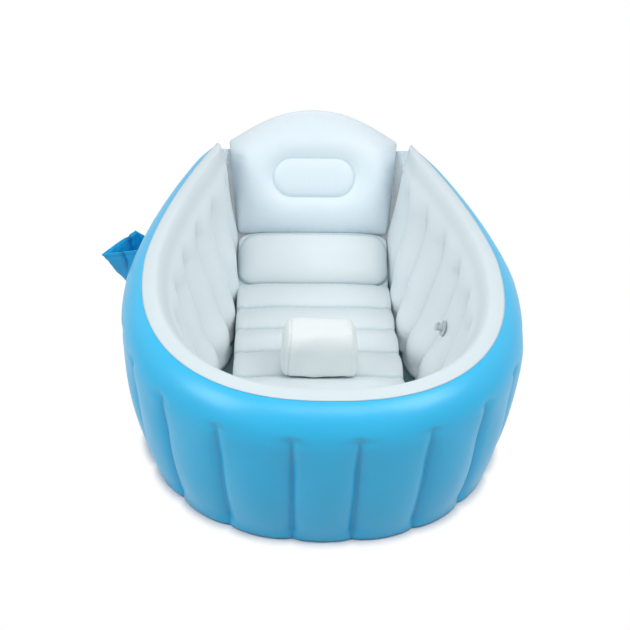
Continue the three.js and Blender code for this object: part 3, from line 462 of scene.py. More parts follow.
def inner_grid():
    middle = HEIGHT - ROLL * math.cos(SEAM)
    angles = np.concatenate([np.linspace(SEAM, LAP_ANGLE, 3), np.linspace(LAP_ANGLE - 0.05, -math.pi / 2, 26)])
    downs = np.linspace(0.02, 1, 40)
    room = (np.abs(PLACE[:, 0]) - SEAT_HALF - 2 * GAP - SHEET) / np.maximum(np.abs(OUT[:, 0]), 1e-6)
    reach = np.where(PLACE[:, 1] > SEAT_FOOT, np.minimum(INNER_FOOT, room), INNER_FOOT)
    shoulder = np.minimum(SHOULDER, reach * SHOULDER_SHARE)
    n, z, fades = [], [], []
    for a in angles:
        fade = float(smooth(np.array(-a), 0, math.radians(70)))
        half = shoulder - INSET if a < 0 else BULGE + INSET + 0 * RUN
        lean = INNER_LEAN if a < 0 else 1
        n.append(half * math.copysign(abs(math.sin(a)) ** lean, a) - INSET)
        z.append(middle + ROLL * max(math.cos(a), 0) ** lean)
        fades.append(fade + 0 * RUN)
    for d in downs:
        n.append(-shoulder - (reach - shoulder) * d**INNER_BOW)
        z.append(middle + (SHEET + GAP - middle) * d)
        fades.append(1 + 0 * RUN)
    n.append(n[-1] + FLANGE)
    z.append(z[-1])
    fades.append(1 + 0 * RUN)
    n, z, fades = np.array(n), np.array(z), np.array(fades)
    depth = HEIGHT - z
    end = OUTER_END + (INNER_END - OUTER_END) * fades * smooth(depth, END_TOP, END_LOW)
    share = section_share(RUN[None], end)
    low = smooth(z, 0, 22)
    fold = np.exp(-((NEAR / 12) ** 1.5))[None]
    inside = n < -INSET - 4
    start = smooth(depth, 20, 66) * inside
    tip = np.exp(-(((depth - INNER_TIP) / 12) ** 2)) * np.exp(-((NEAR / 12) ** 1.9))[None] * inside
    drawn = 0.56 * SOFT_ARC[None] * smooth(depth, 6, 90) + 0.38 * fold * start + 0.1 * tip
    n = n + INNER_GROOVE * fades * drawn * (0.5 + 0.5 * low)
    n += 0.9 * field(RUN[None], z, 7, 120) * smooth(depth, 8, 60) * low * inside
    n += 0.5 * ripple(z + 0.4 * RUN[None], 9, (11, 17, 26)) * np.exp(-NEAR / 12)[None] * start * low
    beside = smooth(PLACE[:, 1], 40, 200)[None] * inside
    n = n - BELLY * beside * np.exp(-(((z - BELLY_HEIGHT) / BELLY_SPREAD) ** 2))
    n = n - LOW_BELLY * smooth(PLACE[:, 1], -110, -20)[None] * inside * np.exp(-(((z - 46) / 27) ** 2))
    wedge = smooth(PLACE[:, 1], -250, -215)[None] * (1 - smooth(PLACE[:, 1], -150, -60)[None]) * inside
    n = n + WEDGE * wedge * (1 - smooth(z, 20, 110))
    # Painted shade: thin darker lines and broad soft darker bands in the valleys at the welds, dark ticks where the
    # folds start, and a darker band over the top of the rim.
    line = np.exp(-((NEAR / 4.0) ** 2))[None]
    tick = np.exp(-((NEAR / 4.5) ** 2))[None] * np.exp(-(((depth - INNER_TIP) / 9) ** 2)) * inside
    band = 0.34 * (1 - smooth(depth, 4, 24))
    valley = 0.14 * line + 0.1 * np.exp(-((NEAR / 15) ** 2))[None]
    crease = np.clip(valley * start * inside + 0.4 * tick + band, 0, 1)
    return on_wall(n * share, z), crease


points, crease = outer_grid()
outer = sheet_object("outer_wall", points, GAP + SHEET, GAP + 2 * SHEET, BLUE, crease, side=-1)
wear(outer, ["outer_wall_sheet"])
declare_sheet(points)
points, crease = inner_grid()
inner = sheet_object("inner_liner", points, 0, SHEET, WHITE, crease)
wear(inner, ["inner_wall_sheet"])
declare_sheet(points)


# Webs at the welds and plates at the wall's ends, cut to the two sheets

WEB_INSET = 2.2
WEB_MARGINS, WEB_TOP = (GAP + 2 * SHEET + WEB_INSET, SHEET + WEB_INSET), -6
END_MARGINS, END_RISE, END_AHEAD = (0.5, 0), 3.6, (-0.35, SHEET / 2 + GAP)


def plate_grid(outer_points, inner_points, column, margins, top):
    """Points of a plate across the wall chamber at one column, from the outer sheet to the inner one."""
    place, out = PLACE[column], OUT[column]

    def section(points):
        return (points[:, column, :2] - place) @ out, points[:, column, 2]

    outer_n, outer_z = section(outer_points[1:-1])
    inner_n, inner_z = section(inner_points[:-1])
    crest = int(np.argmax(inner_z))
    edge_z = np.concatenate([outer_z[::-1], inner_z[1:crest + 1]])
    edge_n = np.concatenate([outer_n[::-1], inner_n[1:crest + 1]])
    z = np.linspace(HEIGHT[column] + top, SHEET + GAP + min(margins[1], WEB_INSET), 44)[:, None]
    near = np.interp(z, edge_z, edge_n) - margins[0]
    far = np.interp(z, inner_z[crest:][::-1], inner_n[crest:][::-1]) + margins[1]
    t = np.linspace(0, 1, 7)[None]
    n = near * (1 - t) + far * t
    if top > 0:
        first = END_AHEAD[0] + (END_AHEAD[1] - END_AHEAD[0]) * smooth(z, HEIGHT[column] - 5, HEIGHT[column])
        ahead = first * (1 - t) + END_AHEAD[1] * t
    else:
        ahead = 0.5 * np.sin(np.pi * t) * field(n, z, 13, 70)
    tangent = np.array([-out[1], out[0]]) * np.sign(RUN[column])
    xy = place + out * n[..., None] + tangent * ahead[..., None]
    return np.concatenate([xy, (z + 0 * n)[..., None]], -1)


def wall_plates():
    outer_points, inner_points = outer_grid()[0], inner_grid()[0]
    welds = np.flatnonzero(NEAR == 0)
    count = len(LEFT_WELDS)
    plates = [(f"web_left_{count - i}", welds[i], WEB_MARGINS, WEB_TOP, CLEAR) for i in range(count)]
    plates += [(f"web_right_{i + 1}", welds[count + i], WEB_MARGINS, WEB_TOP, CLEAR) for i in range(len(RIGHT_WELDS))]
    plates += [("end_left", 0, END_MARGINS, END_RISE, ENDS), ("end_right", len(RUN) - 1, END_MARGINS, END_RISE, ENDS)]
    for name, column, margins, top, look in plates:
        points = plate_grid(outer_points, inner_points, column, margins, top)
        made = sheet_object(f"vinyl_{name}", points, -SHEET / 2, SHEET / 2, look)
        wear(made, [f"wall_{name}"])
        declare_sheet(points)


wall_plates()


# Base sheet, in rings from the drain's hole to the edge, which follows the wall and the rear sheet

BASE_MARGIN, DRAIN_Y, DRAIN_BORE = -2, -292, 11
REAR_BASE_REACH, REAR_TOP_REACH, REAR_TOP_HEIGHT, REAR_SAG = 42, 132, 292, 46
REAR_POWER, REAR_START, REAR_END_PULL, REAR_MIDDLE_PULL = 2.6, 1.1, 0.75, 0.8


def rear_points(across, height):
    """Points of the rear sheet. across runs from -1 to 1 and height from 0 to 1."""
    side = np.where(across < 0, -1.0, 1.0)
    p, out, _ = rim_at(np.array([RIM_END]))
    onward = np.array([-out[0, 1], out[0, 0]])
    start = p[0] + onward * REAR_START
    reach = REAR_BASE_REACH + (REAR_TOP_REACH - REAR_BASE_REACH) * height
    far = p[0, 1] + reach
    t = 1 - np.abs(across)
    one = start + onward * (reach * REAR_END_PULL)[..., None]
    two = np.stack([start[0] * REAR_MIDDLE_PULL + 0 * far, far], -1)
    end = np.stack([0 * far, far], -1)
    w = [(1 - t) ** 3, 3 * t * (1 - t) ** 2, 3 * t * t * (1 - t), t**3]
    xy = w[0][..., None] * start + w[1][..., None] * one + w[2][..., None] * two + w[3][..., None] * end
    sag = REAR_SAG * (1 - np.abs(across) ** REAR_POWER)
    z = SHEET + GAP + (REAR_TOP_HEIGHT - sag - SHEET - GAP) * height
    return np.stack([side * xy[..., 0], xy[..., 1], z], -1)


def base_outline():
    grid, _ = outer_grid()
    edge = grid[-2, ::3, :2] + OUT[::3] * BASE_MARGIN
    back = rear_points(np.linspace(1, -1, 60)[1:-1], np.zeros(58))[:, :2]
    return np.concatenate([edge, back])


def base_object():
    loop = base_outline()
    turn = loop - np.array([0, DRAIN_Y])
    hole = np.array([0, DRAIN_Y]) + DRAIN_BORE * turn / np.linalg.norm(turn, axis=1, keepdims=True)
    t = np.linspace(0, 1, 40)[:, None, None]
    rings = hole[None] + (loop - hole)[None] * t
    lift = 0.1 * (1 + field(rings[..., 0], rings[..., 1], 21, 40)) * np.sin(np.pi * t[..., 0])
    top = np.concatenate([rings, (SHEET - 0.1 + lift * 0.5)[..., None]], -1)
    low = np.concatenate([rings, 0 * lift[..., None]], -1)
    rows, count = top.shape[:2]
    total = rows * count
    faces = [grid_faces(rows, count, wrap=True), grid_faces(rows, count, wrap=True, start=total, flip=True)]
    j = np.arange(count)
    k = (j + 1) % count
    faces.append(np.stack([k, j, j + total, k + total], -1))
    last = (rows - 1) * count
    faces.append(np.stack([j + last, k + last, k + last + total, j + last + total], -1))
    skins = np.concatenate([top.reshape(-1, 3), low.reshape(-1, 3)])
    made = make_object("base_floor", skins, np.concatenate(faces), PAINTED_SHADE_BASE)
    return made


wear(base_object(), ["base_sheet"])


# Clear rear sheet with its crumples


def rear_sheet():
    across, height = np.meshgrid(np.linspace(-1, 1, 150), np.linspace(1, 0, 60))
    points = rear_points(across, height)
    n = normals_of(points)
    along = across * 260
    up = height * 290
    a = field(along, up, 31, 26, 6)
    b = field(along, up * 0.6, 33, 60, 5)
    ridge = 1 - 2 * np.abs(a)
    fade = smooth(1 - np.abs(across), 0, 0.04) * smooth(height, 0, 0.06)
    lift = (1.5 * ridge + 1.8 * b) * fade
    return points + n * lift[..., None]


points = rear_sheet()
rear = wear(sheet_object("rear_sheet", points, 0, SHEET, CLEAR), ["rear_panel"])
declare_sheet(points)


# Backrest

RECLINE = math.radians(65)
BACK_Y, BACK_Z = 341, 113
BACK_LOW, BACK_WIDE, BACK_SHOULDER, BACK_TOP, BACK_CORNER = 152, 168, 187, 249, 14
BACK_FRONT, BACK_REAR = 56, 46
BACK_DOME = [
    (BACK_WIDE, BACK_SHOULDER),
    (BACK_WIDE * 0.775, BACK_SHOULDER + (BACK_TOP - BACK_SHOULDER) * 0.32),
    (BACK_WIDE * 0.475, BACK_TOP),
    (0, BACK_TOP),
]
PAD_WIDTH, PAD_HEIGHT, PAD_MIDDLE, PAD_SINK = 160, 76, 114, 12


def bezier(points, count):
    t = np.linspace(0, 1, count)[:, None]
    p = [np.array(q, float) for q in points]
    if len(p) == 3:
        return (1 - t) ** 2 * p[0] + 2 * t * (1 - t) * p[1] + t * t * p[2]
    return (1 - t) ** 3 * p[0] + 3 * t * (1 - t) ** 2 * p[1] + 3 * t * t * (1 - t) * p[2] + t**3 * p[3]


def back_edge():
    """Half outline of the backrest from its low middle to its top, as polar angle and radius round the pad's middle."""
    slope = BACK_CORNER * (BACK_WIDE - BACK_LOW) / BACK_SHOULDER
    parts = [
        np.linspace([0, 0], [BACK_LOW - BACK_CORNER, 0], 40),
        bezier([(BACK_LOW - BACK_CORNER, 0), (BACK_LOW, 0), (BACK_LOW + slope, BACK_CORNER)], 30),
        np.linspace([BACK_LOW + slope, BACK_CORNER], [BACK_WIDE, BACK_SHOULDER], 60),
        bezier(BACK_DOME, 120),
    ]
    line = np.concatenate(parts) - np.array([0, PAD_MIDDLE])
    angle = np.arctan2(line[:, 0], -line[:, 1])
    order = np.argsort(angle)
    return angle[order], np.linalg.norm(line, axis=1)[order]


EDGE_ANGLE, EDGE_RADIUS = back_edge()
DOME = bezier(BACK_DOME, 200)[::-1]


def back_share(x, b):
    radius = np.interp(np.arctan2(np.abs(x), -(b - PAD_MIDDLE)), EDGE_ANGLE, EDGE_RADIUS)
    return np.clip(np.hypot(x, b - PAD_MIDDLE) / radius, 0, 1)


def back_swell(x, b):
    """Height of the pillow as a share of its bulge: 1 in the middle and 0 all round its edge."""
    side = BACK_LOW + (BACK_WIDE - BACK_LOW) * b / BACK_SHOULDER
    top = np.interp(np.abs(x), DOME[:, 0], DOME[:, 1])
    up = np.where(b > PAD_MIDDLE, (b - PAD_MIDDLE) / (top - PAD_MIDDLE), (PAD_MIDDLE - b) / PAD_MIDDLE)
    across = 1 - np.clip(np.abs(x) / side, 0, 1) ** 4.7
    rounded = 1 - np.clip(up, 0, 1) ** 2.7
    return np.sqrt(across * rounded)


def back_place(x, b, h):
    c, s = math.cos(RECLINE), math.sin(RECLINE)
    return np.stack([x, BACK_Y + b * c - h * s, BACK_Z + b * s + h * c], -1)


def pad_distance(x, b):
    """Distance outside the sunk stadium weld; negative inside it."""
    half = (PAD_WIDTH - PAD_HEIGHT) / 2
    return np.hypot(np.maximum(np.abs(x) - half, 0), b - PAD_MIDDLE) - PAD_HEIGHT / 2


def back_front(x, b):
    h = BACK_FRONT * back_swell(x, b)
    d = pad_distance(x, b)
    outside = np.exp(-((np.maximum(d, 0) / 17) ** 1.25))
    inside = 0.52 + 0.48 * np.exp(-((np.maximum(-d, 0) / 9) ** 1.2))
    h = h - PAD_SINK * np.where(d > 0, outside, inside) - 1.0 * np.exp(-((d / 1.6) ** 2))
    return h


def backrest_object():
    rays, front, rear = 208, 66, 26
    angle = np.linspace(0, 2 * np.pi, rays, endpoint=False)
    radius = np.interp(np.arccos(np.cos(angle)), EDGE_ANGLE, EDGE_RADIUS)
    x0, b0 = np.sin(angle) * radius, -np.cos(angle) * radius
    rings, creases = [], []
    shares = 1 - (1 - np.linspace(0, 1, front + 1)[1:]) ** 1.35
    shares[-1] = 1
    for share in shares:
        x, b = x0 * share, b0 * share + PAD_MIDDLE
        h = back_front(x, b)
        pucker = smooth(np.array(share), 0.72, 0.97) * (1 - smooth(np.array(share), 0.985, 1))
        h = h + (1.3 * ripple(angle * 170, 41, (16, 23, 37)) + 0.6 * field(x, b, 43, 90)) * pucker
        h = h + 0.7 * field(x, b, 45, 110) * (1 - share)
        rings.append(back_place(x, b, h if share < 1 else 0 * h))
        # Painted shade: a darker line in the sunk stadium weld and a darker band round the pillow's edge.
        line = np.exp(-((pad_distance(x, b) / 1.5) ** 2))
        creases.append(0.8 * line + 0.25 * smooth(np.array(share), 0.97, 1))
    for share in 1 - np.linspace(0, 1, rear + 1)[1:-1] ** 1.6:
        x, b = x0 * share, b0 * share + PAD_MIDDLE
        h = -BACK_REAR * back_swell(x, b)
        pucker = 1.1 * ripple(angle * 170, 47, (18, 25, 40)) * smooth(np.array(share), 0.7, 0.95)
        rings.append(back_place(x, b, h + pucker))
        creases.append(0 * x)
    points = np.concatenate(rings)
    crease = np.concatenate(creases)
    first = back_place(np.array([0.0]), np.array([PAD_MIDDLE]), back_front(np.array([0.0]), np.array([PAD_MIDDLE])))
    last = back_place(np.array([0.0]), np.array([PAD_MIDDLE]), np.array([-BACK_REAR]))
    points = np.concatenate([points, first, last])
    crease = np.concatenate([crease, [0, 0]])
    count = len(rings)
    faces = grid_faces(count, rays, wrap=True).tolist()
    j = np.arange(rays)
    k = (j + 1) % rays
    faces += [[len(points) - 2, b, a] for a, b in zip(j, k)]
    end = (count - 1) * rays
    faces += [[len(points) - 1, end + a, end + b] for a, b in zip(j, k)]
    return make_object("backrest_cushion", points, faces, BACK, crease)


back = wear(backrest_object(), ["backrest_chamber"])


# Seat: floor tubes, hip tube and lumbar pad

TUBES, PITCH, FLOOR_HEIGHT, CREASE = 5, 80, 54, 12
HIP_RUN, HIP_RISE, HIP_BULGE = 84, 6, 5
LUMBAR_RUN, LUMBAR_RISE, LUMBAR_BULGE = 66, 78, 15
LUMBAR_HALF, LUMBAR_CORNER = 147, 30
SEAT_CROWN, SEAT_SIDE, SEAT_PINCH, SEAT_POWER, SEAT_REAR = 3, 0.5, 0.985, 7, 32
FLOOR_Z = SHEET + GAP


def under_backrest(x, y):
    """The greatest height that stays under the backrest."""
    b = np.linspace(0, 70, 90)
    most = np.full(np.shape(y), 1e3)
    for i in range(x.shape[1]):
        at = back_place(x[0, i] + 0 * b, b, BACK_FRONT * back_swell(x[0, i] + 0 * b, b))
        order = np.argsort(at[:, 1])
        ys, zs = at[order, 1], at[order, 2]
        inside = back_share(np.array([x[0, i]]), np.array([1.0]))[0] < 1
        column = y[:, i]
        limit = np.interp(column, ys, zs, left=1e3)
        if inside:
            most[:, i] = np.where(column > ys[0], limit, 1e3)
    return most


def seat_object():
    low = FLOOR_HEIGHT - CREASE
    across = np.sin(np.linspace(-np.pi / 2, np.pi / 2, 90)) * 0.55 + np.linspace(-1, 1, 90) * 0.45
    # Rows of y, z, share of the width lost, distance to the nearest weld, and place on the lumbar pad. There -1 is a
    # tube, -2 the rear edge and -3 the rear side.
    profile = []
    for t in np.linspace(0, 1, 12):
        profile.append((SEAT_FOOT - 6 * math.sqrt(1 - t * t), FLOOR_Z + (low - FLOOR_Z) * t, 1.0, 20 * (1 - t), -1))

    def tube(y0, z0, y1, z1, bulge, count, squareness=0.75):
        length = math.hypot(y1 - y0, z1 - z0)
        up = (-(z1 - z0) / length, (y1 - y0) / length)
        for u in np.linspace(0, 1, count + 1)[1:]:
            s = (1 - math.cos(math.pi * u)) / 2
            swell = bulge * math.sin(math.pi * s) ** squareness if s < 1 else 0
            y, z = y0 + (y1 - y0) * s + up[0] * swell, z0 + (z1 - z0) * s + up[1] * swell
            profile.append((y, z, None, length * min(s, 1 - s), -1))

    for k in range(TUBES):
        tube(SEAT_FOOT + k * PITCH, low, SEAT_FOOT + (k + 1) * PITCH, low, CREASE, 18)
    hip = SEAT_FOOT + TUBES * PITCH
    tube(hip, low, hip + HIP_RUN, low + HIP_RISE, HIP_BULGE + CREASE, 20)
    y0, z0 = hip + HIP_RUN, low + HIP_RISE
    y1, z1 = y0 + LUMBAR_RUN, z0 + LUMBAR_RISE
    length = math.hypot(y1 - y0, z1 - z0)
    up = (-(z1 - z0) / length, (y1 - y0) / length)
    for s in np.linspace(0, 1, 45)[1:]:
        profile.append((y0 + (y1 - y0) * s, z0 + (z1 - z0) * s, None, 40.0, length * s))
    for t in np.linspace(0, 1, 10)[1:]:
        turn = math.pi / 2 * t
        profile.append((y1 + SEAT_REAR * math.sin(turn), z1 - SEAT_REAR * (1 - math.cos(turn)), 0.0, 40.0, -2))
    rear_top = z1 - SEAT_REAR
    for t in np.linspace(0, 1, 12)[1:]:
        profile.append((y1 + SEAT_REAR, rear_top + (FLOOR_Z - rear_top) * t, 0.0, 40.0, -3))
    profile = [list(p) for p in profile]
    for p in profile:
        if p[2] is None:
            p[2] = float(np.clip((FLOOR_HEIGHT - p[1]) / CREASE, 0, 1))
    p = np.array(profile)
    y, z, lost, near, pad = p[:, 0:1], p[:, 1:2], p[:, 2:3], p[:, 3:4], p[:, 4:5]
    past = np.clip((y - SEAT_FOOT + 6) / (PITCH / 2), 0, 1)
    half = SEAT_HALF * (1 + (SEAT_PINCH - 1) * lost) * (1 - 0.07 * (1 - past) ** 2)
    u = across[None]
    edge = np.clip(1 - np.abs(u) ** SEAT_POWER, 0, 1) ** (1 / SEAT_POWER)
    crown = SEAT_CROWN * (1 - u * u) * (z > FLOOR_Z)
    x = u * half
    wall = smooth(z, 20, 44)
    pucker = np.exp(-near / 11) * wall * (pad < 0) * (pad > -1.5)
    ridges = ripple(x + 0.3 * y, 51, (13, 19, 31)) * 0.9 + ripple(x - 0.2 * y, 53, (9, 15)) * 0.4
    body = z + crown + pucker * ridges * smooth(1 - np.abs(u), 0, 0.12)
    body = body + 0.8 * field(x, y + 0 * x, 55, 120) * wall * (pad < 0) * (pad > -1.5)
    zz = FLOOR_Z + (body - FLOOR_Z) * (SEAT_SIDE + (1 - SEAT_SIDE) * edge)
    yy = y + 0 * x
    on_pad = pad > 0
    qx = np.abs(x) - (LUMBAR_HALF - LUMBAR_CORNER)
    qt = np.abs(pad - length / 2) - (length / 2 - LUMBAR_CORNER)
    outside = np.hypot(np.maximum(qx, 0), np.maximum(qt, 0)) + np.minimum(np.maximum(qx, qt), 0) - LUMBAR_CORNER
    depth = np.clip(-outside, 0, 38) / 38
    puff = LUMBAR_BULGE * 1.08 * np.sqrt(np.clip(1 - (1 - depth) ** 2.2, 0, 1)) * on_pad
    puff = puff + 0.8 * field(x, pad, 57, 90) * on_pad * depth
    folds = ripple(x * 0.8 + pad, 59, (9, 14, 22)) * np.exp(-np.abs(outside) / 9) * 0.7 * on_pad * (np.abs(x) > 90)
    yy = yy + up[0] * (puff + folds)
    zz = zz + up[1] * (puff + folds)
    # Painted shade: darker lines in the creases between the tubes and along the lumbar pad's weld, darker at its lower
    # corners.
    crease = 0.5 * np.exp(-((near / 3.4) ** 2)) * (pad < 0) * (pad > -1.5) * (z > 30)
    tick = (qx > 0) * (qt > 0) * (pad < length / 2)
    # Painted shade on the seat's front end, where the foot wall shades it.
    crease = crease + 0.16 * (1 - smooth(y, SEAT_FOOT + 30, SEAT_FOOT + 190))
    crease = np.maximum(crease, (0.45 + 0.55 * tick) * np.exp(-((outside / 2.2) ** 2)) * on_pad) + 0 * x
    tips = np.exp(-near / 9) * smooth(np.abs(u), 0.84, 0.95) * (pad < 0) * (pad > -1.5) * (z > 30)
    zz = zz + 5 * tips
    limit = under_backrest(x + 0 * y, yy)
    zz = np.minimum(zz, np.maximum(limit - 1.2, FLOOR_Z + 1))
    zz = np.where(z <= FLOOR_Z + 1e-6, FLOOR_Z, zz)
    top = np.stack([x + 0 * yy, yy, zz], -1)
    low_points = top.copy()
    low_points[..., 2] = FLOOR_Z
    low_points[..., 1] = np.maximum(low_points[..., 1], SEAT_FOOT - 6)
    rows, columns = top.shape[:2]
    count = rows * columns
    faces = [grid_faces(rows, columns), grid_faces(rows, columns, start=count, flip=True)]
    loop, after = edge_loop(rows, columns)
    faces.append(np.stack([after, loop, loop + count, after + count], -1))
    both = np.concatenate([crease.ravel(), 0 * crease.ravel()])
    skins = np.concatenate([top.reshape(-1, 3), low_points.reshape(-1, 3)])
    return make_object("seat_cushion", skins, np.concatenate(faces), SEAT, both)


seat = wear(seat_object(), ["seat_chamber"])


# Saddle

SADDLE_WIDTH, SADDLE_DEPTH, SADDLE_HEIGHT, SADDLE_Y, SADDLE_DOME = 134, 78, 84, -66, 5
SADDLE_SIDE, SADDLE_PINCH, SADDLE_TAPER = 13, 0.05, 0.1
SADDLE_BASE = FLOOR_HEIGHT + SEAT_CROWN + GAP


def signed_power(value, power):
    return np.sign(value) * np.abs(value) ** power


def saddle_object():
    """A block with a rounded top, a flat foot and side panels that bulge out past their seams."""
    sides, cap = 144, 22
    seam = SADDLE_WIDTH / 2 - SADDLE_SIDE
    middle = seam * np.sin(np.linspace(-np.pi / 2, np.pi / 2, 61))
    bend = np.linspace(0, np.pi / 2, cap + 1)[1:-1]
    ends = seam + SADDLE_SIDE * np.sin(bend)
    x = np.concatenate([-ends[::-1], middle, ends])
    edge = 1 - SADDLE_PINCH
    scale = np.concatenate([
        edge * np.cos(bend[::-1]) ** 0.62,
        1 - SADDLE_PINCH * np.abs(middle / seam) ** 4,
        edge * np.cos(bend) ** 0.62,
    ])
    theta = np.linspace(0, 2 * np.pi, sides, endpoint=False)
    c, s = np.cos(theta), np.sin(theta)
    upper, lower = signed_power(c, 2 / 2.7), signed_power(c, 2 / 9)
    c, s = np.where(s >= 0, upper, lower), np.where(s >= 0, signed_power(s, 2 / 2.35), signed_power(s, 2 / 9))
    half_height = (SADDLE_HEIGHT + SADDLE_DOME) / 2
    low_scale = scale**0.35
    y = SADDLE_DEPTH / 2 * c[None] * scale[:, None]
    z = half_height * s[None] * np.where(s[None] >= 0, scale[:, None], low_scale[:, None])
    reach = np.hypot(y, z)
    away = np.abs(np.abs(x) - seam)
    shown = np.where(x < 0, 1.0, 0.35)
    grow = (shown * (0.5 * np.exp(-((away - 3.2) / 1.8) ** 2) - 0.8 * np.exp(-((away / 1.5) ** 1.5))))[:, None]
    grow = grow + 0.9 * field(x[:, None] + 0 * y, y + z, 61, 55)
    grow = grow + 0.4 * ripple(theta * 55, 63, (7, 11, 17))[None] * np.exp(-away / 8)[:, None]
    factor = 1 + grow / np.maximum(reach, 8)
    y, z = y * factor, np.maximum(z * factor + half_height, 0)
    lip = 1.6 * np.exp(-((z / 2.2) ** 2)) * np.sign(y) * (np.abs(x) < seam + 2)[:, None]
    taper = 1 - SADDLE_TAPER * (z / (2 * half_height)) ** 1.6
    points = np.stack([x[:, None] * taper, y + lip + SADDLE_Y, z + SADDLE_BASE], -1)
    # Painted shade in the side seams, stronger on the left side.
    line = (shown * 0.7 * np.exp(-((away / 1.4) ** 2)))[:, None] + 0 * y
    flat = points.reshape(-1, 3)
    tip = SADDLE_WIDTH / 2 * (1 - SADDLE_TAPER * 0.5**1.6)
    poles = np.array([[tip, SADDLE_Y, SADDLE_BASE + half_height], [-tip, SADDLE_Y, SADDLE_BASE + half_height]])
    rows = len(x)
    faces = grid_faces(rows, sides, wrap=True, flip=True).tolist()
    j = np.arange(sides)
    k = (j + 1) % sides
    first, last = len(flat), len(flat) + 1
    faces += [[last, a, b] for a, b in zip(j, k)]
    end = (rows - 1) * sides
    faces += [[first, end + b, end + a] for a, b in zip(j, k)]
    crease = np.concatenate([line.ravel(), [0, 0]])
    return make_object("saddle_cushion", np.concatenate([flat, poles]), faces, CREAM, crease)


saddle = wear(saddle_object(), ["saddle_chamber"])


# Pouch on the left outer wall

POUCH_RUN, POUCH_SHEET, POUCH_FLANGE, POUCH_FRONT, POUCH_WIDTH, POUCH_DEPTH = LEFT_WELDS[7], 0.8, 7, 54, 98, 68
POUCH_HIGH, POUCH_LOW = 210, 88
# Corners of the mouth and of the foot: shares along the wall, out from it and down.
POUCH_MOUTH = np.array([(0, 0, 0), (-0.194, 1, 0.05), (0.908, 0.632, 0.082), (1, 0, 0.311)])
POUCH_FOOT = np.array([(0.102, 0.015, 1), (0.36, 0.25, 1.06), (0.878, 0.103, 1), (0.959, 0.015, 1)])


def outer_reach(run, z, bridged):
    """How far the outer wall stands out from the rim seam below its bulge, where a bridged part skips the grooves."""
    _, _, height = rim_at(run)
    middle = height - ROLL * math.cos(SEAM)
    down = np.clip((middle - z) / (middle - OUTER_SEAT), 0, 1)
    side = np.abs(run)
    bay = np.clip(np.searchsorted(LEFT_WELDS, side) - 1, 0, len(LEFT_WELDS) - 2)
    a, b = LEFT_WELDS[bay], LEFT_WELDS[bay + 1]
    s = np.clip((side - a) / (b - a), 0, 1)
    near = np.abs(np.minimum(side - a, b - side))
    arc = 1 - np.sqrt(np.clip(np.sin(np.pi * s), 0, 1))
    n = OUTER_FOOT + (BULGE - OUTER_FOOT) * (1 - down**OUTER_BOW)
    n = n - OUTER_GROOVE * groove(height - z, smooth(z, 0, 26), arc, near) * (1 - bridged)
    return n * section_share(run, OUTER_END)


def pouch_grid():
    size = np.array([POUCH_WIDTH, POUCH_DEPTH, POUCH_LOW - POUCH_HIGH])
    place = np.array([-POUCH_FRONT, 0, POUCH_HIGH])
    mouth, foot = POUCH_MOUTH * size + place, POUCH_FOOT * size + place
    flange = np.array([POUCH_FLANGE, 0, 0])
    top, low, marks = [mouth[0] * [1, 0, 1] - flange], [foot[0] * [1, 0, 1] - flange], [-1.0]
    for i, samples in enumerate((26, 34, 18)):
        for t in np.arange(samples) / samples:
            top.append(mouth[i] * (1 - t) + mouth[i + 1] * t)
            low.append(foot[i] * (1 - t) + foot[i + 1] * t)
            marks.append(i + t)
    top += [mouth[3], mouth[3] + flange]
    low += [foot[3], foot[3] * [1, 0, 1] + flange]
    top, low, mark = np.array(top), np.array(low), np.array(marks + [3.0, 4.0])[None]
    drop = (np.linspace(0, 1, 56) ** 1.15)[:, None]
    along, out, z = (top[None, :, k] * (1 - drop) + low[None, :, k] * drop for k in range(3))
    run = -(POUCH_RUN + along)
    free = smooth(mark, 0.02, 0.3) * (1 - smooth(mark, 2.7, 2.98))
    panel = np.clip(mark, 0, 3)
    dart = np.exp(-(((panel - 0.52 - 0.28 * drop) / 0.05) ** 2)) * (1 - smooth(drop, 0.2, 0.42))
    fold = np.exp(-(((panel - 1.74 + 0.3 * drop) / 0.06) ** 2)) * (1 - smooth(drop, 0.12, 0.3))
    shift = -3.2 * dart - 3.0 * fold
    slack = 1.5 * field(run, z, 71, 40) + 0.8 * field(run, z, 73, 16)
    shift = shift + free * slack * (1 - smooth(drop, 0.8, 1)) * smooth(drop, 0, 0.05)
    shift = shift + free * 1.1 * (1 - smooth(drop, 0.02, 0.045))
    out = np.where(out > 2, np.maximum(out + shift, 1.5), out)
    p, outward, _ = rim_at(run)
    n = outer_reach(run, z, np.minimum(1, out / OUTER_GROOVE)) - SHEET + GAP + POUCH_SHEET + 0.1 + np.maximum(out, 0)
    # Painted shade in the dart, the fold and the line under the hem of the mouth.
    crease = 0.85 * np.maximum(dart, fold) + 0.45 * np.exp(-((drop - 0.05) / 0.01) ** 2) + 0 * mark
    return np.concatenate([p + outward * n[..., None], z[..., None]], -1), np.clip(crease, 0, 1)


points, crease = pouch_grid()
pouch = sheet_object("side_pocket", points, 0, POUCH_SHEET, POUCH, crease)
wear(pouch, ["side_pouch"])
declare_sheet(points)


# Moulded valves and drain keep their solids

for name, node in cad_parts.items():
    if "valve" in name or name.startswith("drain"):
        node.data.materials.clear()
        node.data.materials.append(CLEAR if name.endswith("flap") else MOULDED)


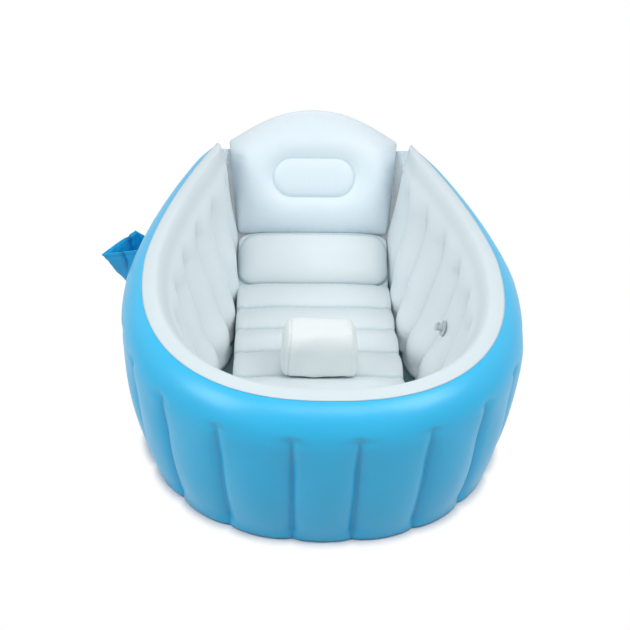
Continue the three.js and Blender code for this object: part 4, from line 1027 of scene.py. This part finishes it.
# Floor of the studio: lit near the tub, where its shadow lies, and plain white farther out

SHADOW_NEAR, SHADOW_FAR, STUDIO_Z = 2, 20, -0.6


def studio_floor():
    foot = base_outline()
    middle = foot.mean(axis=0)
    out = foot - middle
    out /= np.linalg.norm(out, axis=1, keepdims=True)
    offsets = [-200, -40, -10, 0, 2, 4, 6, 8, 10, 12, 15, 18, 22, 26, 30, 40, 60, 100, 200, 500, 1500, 7000]
    rings = np.array([foot + out * o for o in offsets])
    plain = np.array([smooth(np.array(float(o)), SHADOW_NEAR, SHADOW_FAR) for o in offsets])
    rows, count = rings.shape[:2]
    points = np.concatenate([rings, np.full((rows, count, 1), STUDIO_Z)], -1).reshape(-1, 3)
    faces = grid_faces(rows, count, wrap=True).tolist() + [list(range(count))]
    material = bpy.data.materials.new("studio_floor")
    material.use_nodes = True
    nodes, links = material.node_tree.nodes, material.node_tree.links
    lit = nodes["Principled BSDF"]
    lit.inputs["Roughness"].default_value = 0.9
    lit.inputs["Specular IOR Level"].default_value = 0.1
    rays = seen_rays(nodes, links)
    shade = nodes.new("ShaderNodeMix")
    shade.data_type = "RGBA"
    shade.inputs[6].default_value = (0.54, 0.54, 0.54, 1)
    shade.inputs[7].default_value = (0.9, 0.86, 0.85, 1)
    links.new(rays, shade.inputs["Factor"])
    links.new(shade.outputs[2], lit.inputs["Base Color"])
    white = nodes.new("ShaderNodeEmission")
    white.inputs["Strength"].default_value = 1.0
    far = nodes.new("ShaderNodeAttribute")
    far.attribute_name = "crease"
    both = nodes.new("ShaderNodeMath")
    both.operation = "MULTIPLY"
    mix = nodes.new("ShaderNodeMixShader")
    links.new(far.outputs["Fac"], both.inputs[0])
    links.new(rays, both.inputs[1])
    links.new(both.outputs[0], mix.inputs["Fac"])
    links.new(lit.outputs[0], mix.inputs[1])
    links.new(white.outputs[0], mix.inputs[2])
    links.new(mix.outputs[0], nodes["Material Output"].inputs["Surface"])
    make_object("studio_floor", points, faces, material, np.repeat(plain, count))


studio_floor()
